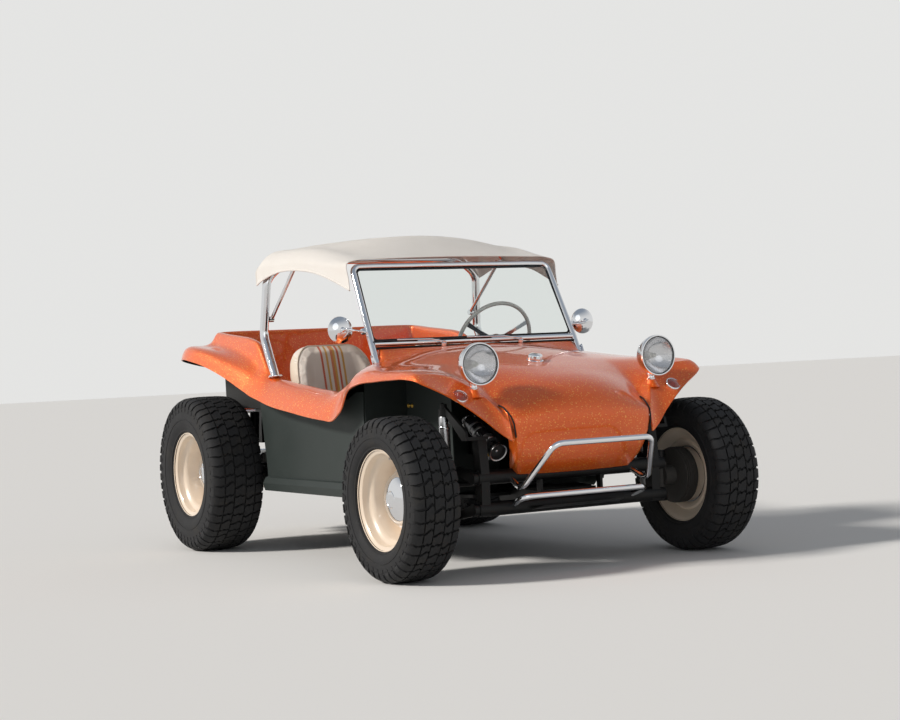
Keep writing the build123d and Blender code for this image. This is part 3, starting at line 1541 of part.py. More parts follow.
tail_pipes = [
    rod((MUFFLER_X - 40, side * TAIL_PIPE_Y, TAIL_PIPE_Z), (TAIL_PIPE_END_X, side * TAIL_PIPE_Y, TAIL_PIPE_Z), TAIL_PIPE_R)
    for side in (1, -1)
]
tail_bores = [
    rod(
        (TAIL_PIPE_END_X + TAIL_BORE_DEPTH, side * TAIL_PIPE_Y, TAIL_PIPE_Z),
        (TAIL_PIPE_END_X, side * TAIL_PIPE_Y, TAIL_PIPE_Z),
        TAIL_PIPE_BORE_R,
    )
    for side in (1, -1)
]
with BuildPart() as exhaust:
    with BuildSketch(Plane.XZ.offset(-MUFFLER_HALF)):
        with Locations((MUFFLER_X, MUFFLER_Z)):
            Circle(MUFFLER_R)
    extrude(amount=2 * MUFFLER_HALF)
    for pipe in header_pipes:
        add(pipe)
    for pipe in tail_stubs + tail_pipes:
        add(pipe)
    for bore in tail_bores:
        add(bore, mode=Mode.SUBTRACT)
    add(heads.part, mode=Mode.SUBTRACT)
keep(exhaust, "exhaust")

REAR_HOOP_X = REAR_END_X + BUMPER_R
REAR_BAR_IN = 30.5
rear_hoop = tube(
    [
        (-1005, 250, 311),
        (REAR_HOOP_X + 187.5, 300, 330),
        (REAR_HOOP_X + 27.5, 310, 440),
        (REAR_HOOP_X, 270, 660),
        (REAR_HOOP_X, -270, 660),
        (REAR_HOOP_X + 27.5, -310, 440),
        (REAR_HOOP_X + 187.5, -300, 330),
        (-1005, -250, 311),
    ],
    [60, 60, 60, 60, 60, 60],
    BUMPER_R,
)
rear_bar = rod((REAR_HOOP_X + REAR_BAR_IN, 300, 440), (REAR_HOOP_X + REAR_BAR_IN, -300, 440), BUMPER_R)
with BuildPart() as rear_bumper:
    add(rear_hoop)
    add(rear_bar)
    add(torsion_housing.part, mode=Mode.SUBTRACT)
keep(rear_bumper, "rear_bumper")

shift_stick = tube([(230, 0, 430), (235, 0, 560), (200, 0, 680)], [60], 7)
hand_brake = tube([(80, 20, 438), (-20, 20, 500), (-150, 20, 500)], [40], 9)
with BuildPart() as levers:
    add(shift_stick)
    add(hand_brake)
    with BuildSketch(Plane.XY.offset(PAN_TOP + TUNNEL_H + SEAT_GAP)):
        with Locations((230, 0)):
            Circle(34)
        with Locations((60, 20)):
            RectangleRounded(110, 40, 12)
    extrude(amount=16)
    with BuildSketch(Plane(origin=(203, 0, 672), z_dir=(-35, 0, 120))):
        Circle(20)
    extrude(amount=36)
    add(floor_pan.part, mode=Mode.SUBTRACT)
keep(levers, "levers")
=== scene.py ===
import math
from collections import namedtuple

import bpy
from mathutils import Matrix, Vector


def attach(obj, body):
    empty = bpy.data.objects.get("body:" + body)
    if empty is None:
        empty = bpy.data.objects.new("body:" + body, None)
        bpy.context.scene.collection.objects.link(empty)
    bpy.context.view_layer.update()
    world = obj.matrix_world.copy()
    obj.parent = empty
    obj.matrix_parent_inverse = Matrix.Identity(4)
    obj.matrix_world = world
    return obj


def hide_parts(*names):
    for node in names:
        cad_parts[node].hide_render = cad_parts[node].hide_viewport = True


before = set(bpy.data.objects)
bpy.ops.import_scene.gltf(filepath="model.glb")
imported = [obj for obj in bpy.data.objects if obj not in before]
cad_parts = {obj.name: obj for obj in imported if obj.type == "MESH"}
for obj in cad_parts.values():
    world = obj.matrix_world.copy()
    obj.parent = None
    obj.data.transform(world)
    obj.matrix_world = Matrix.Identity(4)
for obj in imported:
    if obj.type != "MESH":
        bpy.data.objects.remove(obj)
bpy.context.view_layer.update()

# Lengths are in metres, or in millimetres where a table says so. +X is forward, +Y the vehicle's left, +Z up.

MM = 0.001
FRONT_AXLE_X = 1.19
REAR_AXLE_X = -0.85
TUB_Y = 0.548
SKIN = 0.006

# Camera, from the photograph's frame of 900 by 720

IMAGE_WIDTH = 900
FOCAL_PIXELS = 1875.3
SENSOR_WIDTH = 36
CAMERA_PLACE = Vector((7.9338, -4.3056, 0.9003))
CAMERA_YAW = 2.6256
CAMERA_PITCH = -0.001
CAMERA_ROLL = -0.0474


def set_camera():
    """The photograph's view: a 75 mm lens at bonnet height, off the right front corner."""
    ahead = Vector((
        math.cos(CAMERA_YAW) * math.cos(CAMERA_PITCH),
        math.sin(CAMERA_YAW) * math.cos(CAMERA_PITCH),
        math.sin(CAMERA_PITCH),
    ))
    right = Vector((math.sin(CAMERA_YAW), -math.cos(CAMERA_YAW), 0))
    up = right.cross(ahead)
    turned_right = math.cos(CAMERA_ROLL) * right + math.sin(CAMERA_ROLL) * up
    turned_up = math.cos(CAMERA_ROLL) * up - math.sin(CAMERA_ROLL) * right
    bpy.ops.object.camera_add()
    camera = bpy.context.object
    camera.data.sensor_width = SENSOR_WIDTH
    camera.data.lens = FOCAL_PIXELS * SENSOR_WIDTH / IMAGE_WIDTH
    turn = Matrix((turned_right, turned_up, -ahead)).transposed()
    camera.matrix_world = Matrix.Translation(CAMERA_PLACE) @ turn.to_4x4()
    bpy.context.scene.camera = camera


# Shader helpers


class Number:
    """A socket that carries a number, written into sums as if it were one."""

    def __init__(self, nodes, socket):
        self.nodes = nodes
        self.socket = socket

    def maths(self, operation, *terms):
        return self.nodes.node("Math", {"operation": operation}, dict(enumerate((self, *terms))))

    def __add__(self, other):
        return self.maths("ADD", other)

    def __sub__(self, other):
        return self.maths("SUBTRACT", other)

    def __mul__(self, other):
        return self.maths("MULTIPLY", other)

    def __lt__(self, other):
        return self.maths("LESS_THAN", other)

    def sine(self):
        return self.maths("SINE")

    def size(self):
        return self.maths("ABSOLUTE")


class Nodes:
    """The node tree of a material or a world, and short ways to add to it."""

    def __init__(self, tree):
        self.tree = tree

    def node(self, kind, settings=None, sockets=None, output=0):
        made = self.tree.nodes.new("ShaderNode" + kind)
        for name, value in (settings or {}).items():
            setattr(made, name, value)
        for name, value in (sockets or {}).items():
            self.feed(made.inputs[name], value)
        return Number(self, made.outputs[output])

    def feed(self, socket, value):
        if isinstance(value, Number):
            self.tree.links.new(value.socket, socket)
        else:
            socket.default_value = value

    def parts(self, place):
        """The X, Y and Z of a place."""
        split = self.node("SeparateXYZ", {}, {0: place}).socket.node
        return [Number(self, out) for out in split.outputs]

    def mix(self, share, first, second):
        """One colour or the other; the Mix node's colour sockets are 6, 7 and 2."""
        return self.node("Mix", {"data_type": "RGBA"}, {0: share, 6: first, 7: second}, 2)

    def spread(self, value, low, high, start=0, end=1, way="LINEAR"):
        return self.node(
            "MapRange",
            {"clamp": True, "interpolation_type": way},
            {"Value": value, "From Min": low, "From Max": high, "To Min": start, "To Max": end},
        )


class Finish(Nodes):
    """One material: its Principled shader, and the nodes that vary it over a surface."""

    def __init__(self, name, **constants):
        self.material = bpy.data.materials.new(name)
        self.material.use_nodes = True
        super().__init__(self.material.node_tree)
        self.shader = self.tree.nodes["Principled BSDF"]
        for socket, value in constants.items():
            self.drive(socket.replace("_", " "), value)

    def drive(self, name, value):
        self.feed(self.shader.inputs[name], value)

    def place(self):
        return self.node("TexCoord", output="Object")

    def cells(self, scale, output="Distance"):
        return self.node("TexVoronoi", {}, {"Vector": self.place(), "Scale": scale}, output)

    def noise(self, scale, detail=2, rough=0.5):
        sockets = {"Vector": self.place(), "Scale": scale, "Detail": detail, "Roughness": rough}
        return self.node("TexNoise", {}, sockets)

    def relief(self, height, distance, strength=1):
        sockets = {"Height": height, "Distance": distance, "Strength": strength}
        self.drive("Normal", self.node("Bump", {}, sockets))


def colour(r, g, b):
    return (r, g, b, 1)


def woven(across, along, yarns):
    """From 0 to 1 over the crossed yarns of a cloth, this many radians of them to the metre."""
    return (across * yarns).sine() * (along * yarns).sine() * 0.5 + 0.5


# Materials

FINE_FLAKES = 900
GLINT_FLAKES = 290
FLAKE_LEAN = 0.4
CANVAS_YARNS = 2600
KNIT_YARNS = 2100
LENS_FLUTES = 640


def flake_paint():
    """Orange over fine leaning flakes under clear coat; a few gold flakes of the paint are painted bright as
    painted glints.
    """
    clear = {"Coat_Weight": 1, "Coat_Roughness": 0.03, "Coat_IOR": 1.38}
    paint = Finish("metal flake orange", Metallic=0.4, Roughness=0.36, **clear)
    dice = [paint.cells(size, "Color") for size in (FINE_FLAKES, GLINT_FLAKES)]
    shade, pick = [paint.node("SeparateColor", {}, {0: one}) for one in dice]
    cloud = paint.noise(5, 3)
    deep = paint.mix(cloud, colour(0.66, 0.08, 0.006), colour(0.78, 0.105, 0.008))
    bright = paint.mix(shade, deep, colour(0.92, 0.16, 0.012))
    # Gold flake of the paint, painted bright in a few cells as painted glints
    gold = paint.spread(pick, 0.94, 0.975)
    paint.drive("Base Color", paint.mix(gold * 0.85, bright, colour(1, 0.5, 0.1)))
    tilt = paint.node("VectorMath", {"operation": "SUBTRACT"}, {0: dice[0], 1: (0.5, 0.5, 0.5)})
    lean = paint.node("VectorMath", {"operation": "SCALE"}, {0: tilt, "Scale": FLAKE_LEAN})
    straight = paint.node("NewGeometry", output="Normal")
    leaning = paint.node("VectorMath", {"operation": "ADD"}, {0: straight, 1: lean})
    paint.drive("Normal", paint.node("VectorMath", {"operation": "NORMALIZE"}, {0: leaning}))
    return paint.material


def underbody_black():
    """Black stippled paint on the hollow side of the mouldings."""
    black = Finish("underbody black", Roughness=0.72)
    grain = black.noise(90, 3)
    black.drive("Base Color", black.mix(grain, colour(0.006, 0.006, 0.006), colour(0.016, 0.016, 0.015)))
    black.relief(grain, 0.0008)
    return black.material


def canvas_cloth():
    """Off-white canvas: two crossed yarns, a little darker in patches."""
    cloth = Finish("canvas", Roughness=0.88, Sheen_Weight=0.15, Sheen_Roughness=0.5)
    x, y, z = cloth.parts(cloth.place())
    weave = woven(x, y + z, CANVAS_YARNS)
    cloud = cloth.noise(7, 4, 0.6)
    pale = cloth.mix(cloud, colour(0.86, 0.81, 0.75), colour(0.93, 0.89, 0.84))
    cloth.drive("Base Color", cloth.mix(weave * 0.14, pale, colour(0.64, 0.58, 0.5)))
    cloth.relief(weave + cloth.noise(40, 3) * 1.4, 0.0012, 0.7)
    return cloth.material


def seat_cloth(name, centre):
    """Knitted off-white seat cloth with five stripes, centred on one seat; the middle one has two tones."""
    cloth = Finish(name, Roughness=0.82, Sheen_Weight=0.1, Sheen_Roughness=0.5)
    x, y, z = cloth.parts(cloth.place())
    rib = woven(y, x + z, KNIT_YARNS)
    cloud = cloth.noise(12, 3)
    shade = cloth.mix(cloud, colour(0.78, 0.7, 0.62), colour(0.88, 0.81, 0.73))
    base = cloth.mix(rib * 0.2, shade, colour(0.56, 0.49, 0.43))
    for offset, half, stripe in STRIPES:
        inside = (y - (centre + offset)).size() < half
        base = cloth.mix(inside * 0.92, base, stripe)
    cloth.drive("Base Color", base)
    cloth.relief(rib + cloud * 0.6, 0.0009, 0.6)
    return cloth.material


RED_ORANGE = colour(0.62, 0.12, 0.045)
GOLD = colour(0.66, 0.36, 0.06)
STRIPES = [
    # offset from the seat's middle, half width, colour
    (-0.058, 0.0055, RED_ORANGE),
    (-0.031, 0.0055, GOLD),
    (-0.003, 0.0075, colour(0.66, 0.2, 0.06)),
    (0.0085, 0.0055, GOLD),
    (0.029, 0.0055, RED_ORANGE),
    (0.054, 0.0055, GOLD),
]


def bright_plate():
    """Polished plating with faint wiping marks."""
    plate = Finish("chrome plate", Metallic=1, Base_Color=colour(0.8, 0.81, 0.83))
    smear = plate.noise(16, 5, 0.65)
    plate.drive("Roughness", plate.spread(smear, 0.35, 0.75, 0.035, 0.1))
    return plate.material


def cream_enamel():
    enamel = Finish("cream enamel", Coat_Weight=0.7, Coat_Roughness=0.06, Roughness=0.3)
    cloud = enamel.noise(9, 4)
    fine = enamel.noise(220, 2)
    enamel.drive("Base Color", enamel.mix(cloud, colour(0.74, 0.6, 0.46), colour(0.84, 0.71, 0.57)))
    enamel.relief(fine, 0.0002, 0.25)
    return enamel.material


def tyre_rubber():
    """Matt black rubber, dusted brown where it has rolled."""
    rubber = Finish("tyre rubber", Roughness=0.74, Specular_IOR_Level=0.3)
    dust = rubber.noise(11, 6, 0.7)
    grain = rubber.noise(240, 3)
    dusty = rubber.spread(dust, 0.52, 0.8)
    black = rubber.mix(grain, colour(0.01, 0.01, 0.011), colour(0.022, 0.022, 0.023))
    rubber.drive("Base Color", rubber.mix(dusty * 0.35, black, colour(0.075, 0.066, 0.052)))
    rubber.drive("Roughness", rubber.spread(dust, 0.3, 0.8, 0.62, 0.85))
    rubber.relief(grain, 0.0006, 0.6)
    return rubber.material


def satin(name, low, high, rough=0.5, scale=60, depth=0.0004, metallic=0, coat=0):
    """A plain sprayed, moulded or cast surface: two close tones in a fine grain."""
    dull = 0.5 if metallic or coat else 0.25
    sprayed = Finish(
        name, Metallic=metallic, Coat_Weight=coat, Coat_Roughness=0.12, Specular_IOR_Level=dull
    )
    grain = sprayed.noise(scale, 4, 0.6)
    cloud = sprayed.noise(4, 3)
    sprayed.drive("Base Color", sprayed.mix(cloud * 0.6 + grain * 0.4, colour(*low), colour(*high)))
    sprayed.drive("Roughness", sprayed.spread(cloud, 0.3, 0.7, rough - 0.06, rough + 0.08))
    sprayed.relief(grain, depth, 0.5)
    return sprayed.material


def fluted_glass():
    """Thin clear lamp glass with upright flutes pressed into it."""
    glass = Finish("fluted lamp glass", Base_Color=colour(0.8, 0.83, 0.84), Coat_Weight=1, Roughness=0.05)
    across = glass.parts(glass.place())[1]
    flutes = (across * LENS_FLUTES).sine().size()
    glass.drive("Alpha", glass.spread(flutes, 0, 0.7, 0.55, 0.2))
    glass.relief(flutes, 0.0012, 0.8)
    return glass.material


def coloured_lens(name, tint):
    """A coloured lens with a cell pattern pressed on its inside."""
    lens = Finish(name, Roughness=0.12, Transmission_Weight=0.35, Coat_Weight=1, Coat_Roughness=0.03)
    grain = lens.cells(160)
    red, green, blue = tint
    lens.drive("Base Color", lens.mix(grain, colour(*tint), colour(red * 0.45, green * 0.3, blue * 0.3)))
    lens.relief(grain, 0.002, 0.6)
    return lens.material


orange = flake_paint()
underbody = underbody_black()
canvas = canvas_cloth()
chrome = bright_plate()
cream = cream_enamel()
rubber = tyre_rubber()
panel_paint = satin("satin grey panel", (0.026, 0.033, 0.031), (0.036, 0.044, 0.041), 0.46, 140, 0.0003)
black_paint = satin("black chassis paint", (0.004, 0.004, 0.004), (0.009, 0.009, 0.009), 0.46, 90, 0.0003)
black_plastic = satin("black plastic", (0.014, 0.014, 0.015), (0.024, 0.024, 0.025), 0.55, 160, 0.0003)
alloy = satin("cast alloy", (0.3, 0.3, 0.3), (0.46, 0.46, 0.45), 0.46, 70, 0.0009, metallic=1)
steel = satin("bare steel", (0.36, 0.36, 0.37), (0.52, 0.52, 0.53), 0.3, 50, 0.0003, metallic=1)
iron = satin("cast iron", (0.045, 0.043, 0.04), (0.08, 0.074, 0.066), 0.66, 60, 0.0008, metallic=0.4)
pale_pipe = satin("coated pipe", (0.52, 0.47, 0.4), (0.66, 0.61, 0.54), 0.42, 50, 0.0004)
grey_grip = satin("light grey grip", (0.7, 0.68, 0.65), (0.78, 0.76, 0.73), 0.34, 120, 0.0002, coat=0.4)
brass = satin("brass fitting", (0.55, 0.34, 0.06), (0.68, 0.44, 0.1), 0.35, 60, 0.0003, metallic=0.9)
mat_rubber = satin("floor rubber", (0.014, 0.014, 0.014), (0.026, 0.026, 0.025), 0.8, 120, 0.0012)
seat_vinyl = satin("cream seat vinyl", (0.66, 0.57, 0.45), (0.74, 0.66, 0.54), 0.46, 300, 0.0005)
pane = Finish("windshield glass", Roughness=0, Transmission_Weight=1, IOR=1.45)
pane.drive("Base Color", colour(0.93, 0.97, 0.95))
pane_glass = pane.material
ribbed_glass = fluted_glass()
bright_reflector = satin(
    "lamp reflector", (0.72, 0.72, 0.74), (0.8, 0.8, 0.82), 0.1, 20, 0.0001, metallic=1
)
lamp_glow = satin("lamp bulb", (0.6, 0.58, 0.52), (0.78, 0.76, 0.7), 0.12, 30, 0.0001, coat=1)
black_gloss = satin("gloss black", (0.006, 0.006, 0.007), (0.012, 0.012, 0.013), 0.22, 60, 0.0001, coat=0.6)
grey_sleeve = satin("grey sleeve", (0.17, 0.17, 0.17), (0.27, 0.27, 0.27), 0.45, 90, 0.0003, metallic=0.4)
seal_rubber = satin("seal rubber", (0.006, 0.006, 0.006), (0.012, 0.012, 0.012), 0.62, 120, 0.0003)
amber_lens = coloured_lens("amber lens", (0.62, 0.075, 0.02))
red_lens = coloured_lens("red lens", (0.45, 0.01, 0.008))


# Modelling helpers


def deselect():
    bpy.ops.object.select_all(action="DESELECT")


def take(*pieces):
    """Selects these pieces and makes the first the active one."""
    deselect()
    for piece in pieces:
        piece.select_set(True)
    bpy.context.view_layer.objects.active = pieces[0]
    return pieces[0]


def shape(name, corners, faces=(), edges=()):
    """A mesh object from its corners and what joins them."""
    mesh = bpy.data.meshes.new(name)
    mesh.from_pydata([tuple(c) for c in corners], list(edges), [tuple(f) for f in faces])
    mesh.update()
    made = bpy.data.objects.new(name, mesh)
    bpy.context.scene.collection.objects.link(made)
    return take(made)


def change(piece, kind, **settings):
    """Adds a modifier and applies it."""
    take(piece)
    modifier = piece.modifiers.new(kind.title(), kind)
    for name, value in settings.items():
        setattr(modifier, name, value)
    bpy.ops.object.modifier_apply(modifier=modifier.name)
    return piece


def settle(piece):
    """Puts the piece's place into its mesh, merges doubles and turns the faces outwards."""
    take(piece)
    bpy.ops.object.transform_apply(location=True, rotation=True, scale=True)
    bpy.ops.object.mode_set(mode="EDIT")
    bpy.ops.mesh.select_all(action="SELECT")
    bpy.ops.mesh.remove_doubles(threshold=0.00002)
    bpy.ops.mesh.normals_make_consistent(inside=False)
    bpy.ops.object.mode_set(mode="OBJECT")
    return piece


def finished(piece, finish, body="chassis", nodes=(), angle=35):
    """Smooths the piece, gives it its materials, ties it to its body and hides the CAD nodes it replaces."""
    take(piece)
    bpy.ops.object.transform_apply(location=True, rotation=True, scale=True)
    bpy.ops.object.shade_smooth_by_angle(angle=math.radians(angle))
    if finish is not None:
        painted(piece, finish)
    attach(piece, body)
    if nodes:
        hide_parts(*nodes)
    return piece


def band(start, width, low, high, slope=0.001):
    """The profile of a raised ring: its start along the axis, its width and its two radii."""
    return [(start, low), (start + slope, high), (start + width - slope, high), (start + width, low)]


def spun(name, profile, centre, axis, steps=64):
    """Turns a profile of (along the axis, radius) pairs round the axis."""
    centre = Vector(centre)
    along = Vector(axis).normalized()
    out = along.orthogonal().normalized()
    corners = [centre + along * a + out * r for a, r in profile]
    piece = shape(name, corners, edges=[(i, i + 1) for i in range(len(corners) - 1)])
    bpy.ops.object.mode_set(mode="EDIT")
    bpy.ops.mesh.select_all(action="SELECT")
    bpy.ops.mesh.spin(steps=steps, angle=math.tau, center=centre, axis=along)
    bpy.ops.object.mode_set(mode="OBJECT")
    return settle(piece)


BEND_ROOM = 0.48
NEARLY_STRAIGHT = math.radians(88)


def rounded_route(points, radius, steps=7):
    """The points of a bent bar's centre line, with an arc at each inner point."""
    route = [Vector(points[0])]
    for before, corner, after in zip(points, points[1:], points[2:]):
        corner = Vector(corner)
        back = (Vector(before) - corner).normalized()
        ahead = (Vector(after) - corner).normalized()
        half = back.angle(ahead) / 2
        room = BEND_ROOM * min((Vector(before) - corner).length, (Vector(after) - corner).length)
        reach = min(radius / math.tan(half), room)
        if half > NEARLY_STRAIGHT:
            route.append(corner)
            continue
        bend = reach * math.tan(half)
        centre = corner + (back + ahead).normalized() * (bend / math.sin(half))
        first = corner + back * reach - centre
        last = corner + ahead * reach - centre
        for i in range(steps + 1):
            route.append(centre + first.slerp(last, i / steps) * bend)
    route.append(Vector(points[-1]))
    return route


def bar(name, points, thickness, bend=0.05, steps=7, sides=6):
    """A round bar of this radius, bent at its inner points and closed at its ends."""
    curve = bpy.data.curves.new(name, "CURVE")
    curve.dimensions = "3D"
    curve.bevel_depth = thickness
    curve.bevel_resolution = sides
    curve.use_fill_caps = True
    spline = curve.splines.new("POLY")
    route = rounded_route(points, bend, steps) if len(points) > 2 else [Vector(p) for p in points]
    spline.points.add(len(route) - 1)
    for point, place in zip(spline.points, route):
        point.co = (*place, 1)
    made = bpy.data.objects.new(name, curve)
    bpy.context.scene.collection.objects.link(made)
    take(made)
    bpy.ops.object.convert(target="MESH")
    return settle(bpy.context.object)


def mirrored(piece):
    """Adds the other side's half, across the car's middle."""
    change(piece, "MIRROR", use_axis=(False, True, False), merge_threshold=0.0004)
    return piece


def joined(name, *pieces):
    """Makes several meshes one piece, which keeps each face's material."""
    take(*pieces)
    bpy.ops.object.join()
    made = bpy.context.object
    made.name = name
    made.data.name = name
    return made


def painted(piece, *finishes):
    piece.data.materials.clear()
    for finish in finishes:
        piece.data.materials.append(finish)
    return piece


class Kit(list):
    """The parts of one piece, each given its finish as it is put in."""

    def put(self, finish, part):
        self.append(painted(part, finish))


def looped(points):
    """A line on one side of the car, then the same points back along the other side."""
    return [*points, *((x, -y, z) for x, y, z in reversed(points))]


def copied(piece, name, move, turned=False, flipped=False):
    """A copy with its own mesh, turned half round or mirrored across the middle, then moved."""
    made = piece.copy()
    made.data = piece.data.copy()
    made.name = name
    made.data.name = name
    bpy.context.scene.collection.objects.link(made)
    turn = Matrix.Rotation(math.pi, 4, "Z") if turned else Matrix.Identity(4)
    if flipped:
        turn = Matrix.Diagonal((1, -1, 1, 1)) @ turn
    made.data.transform(Matrix.Translation(move) @ turn)
    if flipped:
        made.data.flip_normals()
    return made


def drum(name, centre, axis, radius, depth, edge=0.0015, steps=48):
    """A short round piece with softened ends, standing on its seat along the axis."""
    half = [(0, 0), (0, radius - edge), (edge, radius)]
    profile = half + [(depth - a, r) for a, r in reversed(half)]
    return spun(name, profile, centre, axis, steps)


def plate(name, outline, thickness, edge=0.002, segments=2):
    """A flat outline of 3-D points given a thickness along its own normal, with softened edges."""
    piece = shape(name, outline, [range(len(outline))])
    change(piece, "SOLIDIFY", thickness=thickness, offset=0)
    if edge:
        sharp = math.radians(40)
        change(piece, "BEVEL", width=edge, segments=segments, limit_method="ANGLE", angle_limit=sharp)
    return settle(piece)


def block(name, low, high, edge=0.004, segments=3):
    """A box between two corners with rounded edges."""
    low, high = Vector(low), Vector(high)
    deselect()
    bpy.ops.mesh.primitive_cube_add(size=1, location=(low + high) / 2)
    piece = bpy.context.object
    piece.name = name
    piece.scale = high - low
    bpy.ops.object.transform_apply(location=True, rotation=True, scale=True)
    if edge:
        change(piece, "BEVEL", width=edge, segments=segments)
    return piece


# The moulded body's left side, in mm: bonnet and fender run forward from the windshield's foot, the side back

HOOD_STATIONS = [
    # centre x, z; edge x, y, z; steps to the next station
    (560, 966, 560, 402, 932, 2),
    (590, 963, 590, 400, 929.5, 4),
    (660, 955, 660, 395.5, 923.5, 5),
    (760, 942, 760, 390, 915.5, 8),
    (960, 906, 960, 376, 886, 6),
    (1100, 871, 1100, 365, 852, 5),
    (1194, 846, 1190, 361.5, 812, 4),
    (1240, 832, 1232, 360.5, 786, 3),
    (1278, 820, 1266, 360, 763, 3),
    (1322, 804, 1300, 358.5, 738, 4),
    (1405, 758, 1356, 351, 695, 4),
    (1452, 709, 1398, 345, 673, 4),
    (1473, 655, 1434, 341, 648, 4),
    (1468, 580, 1442.4, 333, 584.5, 4),
    (1442, 505, 1427, 318, 511, 3),
    (1405, 450, 1395, 302, 457, 3),
    (1358, 405, 1355, 275, 410, 0),
]
HOOD_ACROSS = 16
HOOD_CROWN = 2.4
NOSE_RETURN_FROM = 11
NOSE_RETURN = Vector((-0.075, -0.006, 0))
NOSE_BULGE = 0.004


def level(x, *pairs):
    """Points that share one x, from their y and z."""
    return tuple((x, y, z) for y, z in pairs)


FENDER_STATIONS = [
    # from the bonnet's edge outwards: inner rise, top, crest, face and lip, each as x, y, z
    level(560, (478, 905), (568, 864), (600, 846), (657, 776), (702, 677)),
    level(590, (480, 906), (566, 878), (602, 856), (660, 790), (703, 692)),
    level(660, (480, 908), (565, 890), (615, 872), (668, 835), (703, 776)),
    level(760, (480, 903), (570, 889), (630, 877), (682, 851), (713, 802)),
    level(960, (470, 878), (565, 873), (640, 867), (694, 849), (720, 817)),
    level(1100, (450, 855), (555, 862), (635, 863), (694, 850), (717, 822)),
    ((1190, 440, 822), (1192, 545, 848), (1195, 665, 857), (1200, 700, 845), (1210, 714, 822)),
    ((1225, 450, 812), (1240, 560, 838), (1270, 690, 844), (1298, 696, 828), (1325, 700, 805)),
    ((1262, 430, 790), (1262, 510, 822), (1270, 580, 836), (1315, 585, 792), (1370, 580, 740)),
    ((1302, 385, 742), (1302, 415, 756), (1310, 450, 775), (1360, 452, 708), (1410, 450, 640)),
    ((1362, 357, 690), (1375, 367, 687), (1390, 380, 680), (1412, 383, 630), (1433, 385, 578)),
    ((1408, 347, 662), (1418, 349, 645), (1430, 350, 620), (1438, 349, 588), (1443, 347, 550)),
]
# How sharp the crest is at each station, from 0 to 1
FENDER_CREST = [0, 0, 0, 0, 0.1, 0.3, 0.8, 1, 1, 1, 1, 1]

SIDE_STATIONS = [
    # wall foot, wall top, rim, shoulder, edge, lip: x, y, z; steps to the next station
    (*level(560, (548, 560), (550, 846), (568, 864), (600, 846), (657, 776), (702, 677)), 3),
    (*level(491, (548, 315), (556, 796), (585, 816), (616, 800), (665, 735), (702, 646)), 3),
    (*level(423, (548, 315), (562, 772), (598, 782), (628, 770), (674, 720), (702, 650)), 6),
    (*level(250, (548, 315), (564, 773), (599, 784), (630, 773), (676, 726), (702, 664)), 6),
    (*level(81, (548, 315), (565, 791), (600, 802), (631, 790), (676, 742), (702, 684)), 9),
    (*level(-180, (548, 315), (566, 820), (600, 832), (630, 820), (672, 775), (702, 718)), 5),
    (*level(-310, (548, 315), (568, 842), (600, 853), (628, 841), (668, 800), (702, 746)), 4),
    (*level(-390, (548, 315), (570, 898), (600, 912), (624, 882), (668, 828), (704, 765)), 4),
    (*level(-450, (548, 330), (566, 950), (592, 964), (618, 908), (672, 848), (705, 785)), 3),
    (*level(-505, (548, 690), (560, 1000), (586, 1016), (617, 934), (680, 872), (709, 804)), 4),
    (*level(-600, (548, 695), (558, 1030), (584, 1044), (617, 962), (690, 906), (718, 840)), 4),
    (*level(-719, (548, 697), (556, 1046), (582, 1058), (618, 985), (702, 944), (730, 880)), 6),
    (*level(-900, (548, 699), (552, 1064), (580, 1075), (618, 1012), (724, 990), (748, 928)), 4),
    (*level(-1000, (548, 700), (551, 1076), (577, 1086), (617, 1022), (734, 1006), (757, 946)), 3),
    (
        (-1030, 546, 700), (-1034, 549, 1079), (-1042, 572, 1090),
        (-1058, 614, 1032), (-1104, 730, 1014), (-1112, 752, 958), 3,
    ),
    (
        (-1036, 538, 700), (-1042, 540, 1080), (-1053, 556, 1091),
        (-1088, 600, 1036), (-1188, 700, 1004), (-1206, 716, 948), 3,
    ),
    (
        (-1036, 512, 700), (-1043, 512, 1081), (-1056, 524, 1092),
        (-1098, 540, 1058), (-1190, 585, 978), (-1214, 596, 916), 5,
    ),
    (
        (-1036, 300, 700), (-1043, 300, 1081), (-1056, 300, 1092),
        (-1086, 300, 1078), (-1158, 300, 988), (-1196, 300, 884), 6,
    ),
    (
        (-1036, 0, 700), (-1043, 0, 1081), (-1056, 0, 1092),
        (-1084, 0, 1079), (-1154, 0, 990), (-1194, 0, 882), 0,
    ),
]
WELL_LINE = [
    # x, z along the middle: seat bulkhead, rear floor, foot of the back wall
    (-452, 315),
    (-468, 640),
    (-476, 674),
    (-502, 689),
    (-760, 694),
    (-1010, 699),
    (-1028, 703),
    (-1037, 716),
]


def flow(stops, steps, before=None):
    """A smooth line through these points, each span cut into its number of steps."""
    stops = [Vector(p) for p in stops]
    chords = [b - a for a, b in zip(stops, stops[1:])]
    lengths = [max(c.length, 1e-6) for c in chords]
    slopes = [c / l for c, l in zip(chords, lengths)]
    leaning = []
    for i in range(1, len(stops) - 1):
        total = lengths[i - 1] + lengths[i]
        leaning.append((slopes[i - 1] * lengths[i] + slopes[i] * lengths[i - 1]) / total)
    first = slopes[0] if not leaning else (slopes[0] * 3 - leaning[0]) / 2
    last = slopes[-1] if not leaning else (slopes[-1] * 3 - leaning[-1]) / 2
    if before is not None:
        first = ((stops[0] - Vector(before)).normalized() + slopes[0]) / 2
    leaning = [first, *leaning, last]
    line = [stops[0]]
    for i, count in enumerate(steps):
        for k in range(1, count + 1):
            t = k / count
            line.append(
                stops[i] * (2 * t**3 - 3 * t**2 + 1)
                + leaning[i] * lengths[i] * (t**3 - 2 * t**2 + t)
                + stops[i + 1] * (3 * t**2 - 2 * t**3)
                + leaning[i + 1] * lengths[i] * (t**3 - t**2)
            )
    return line


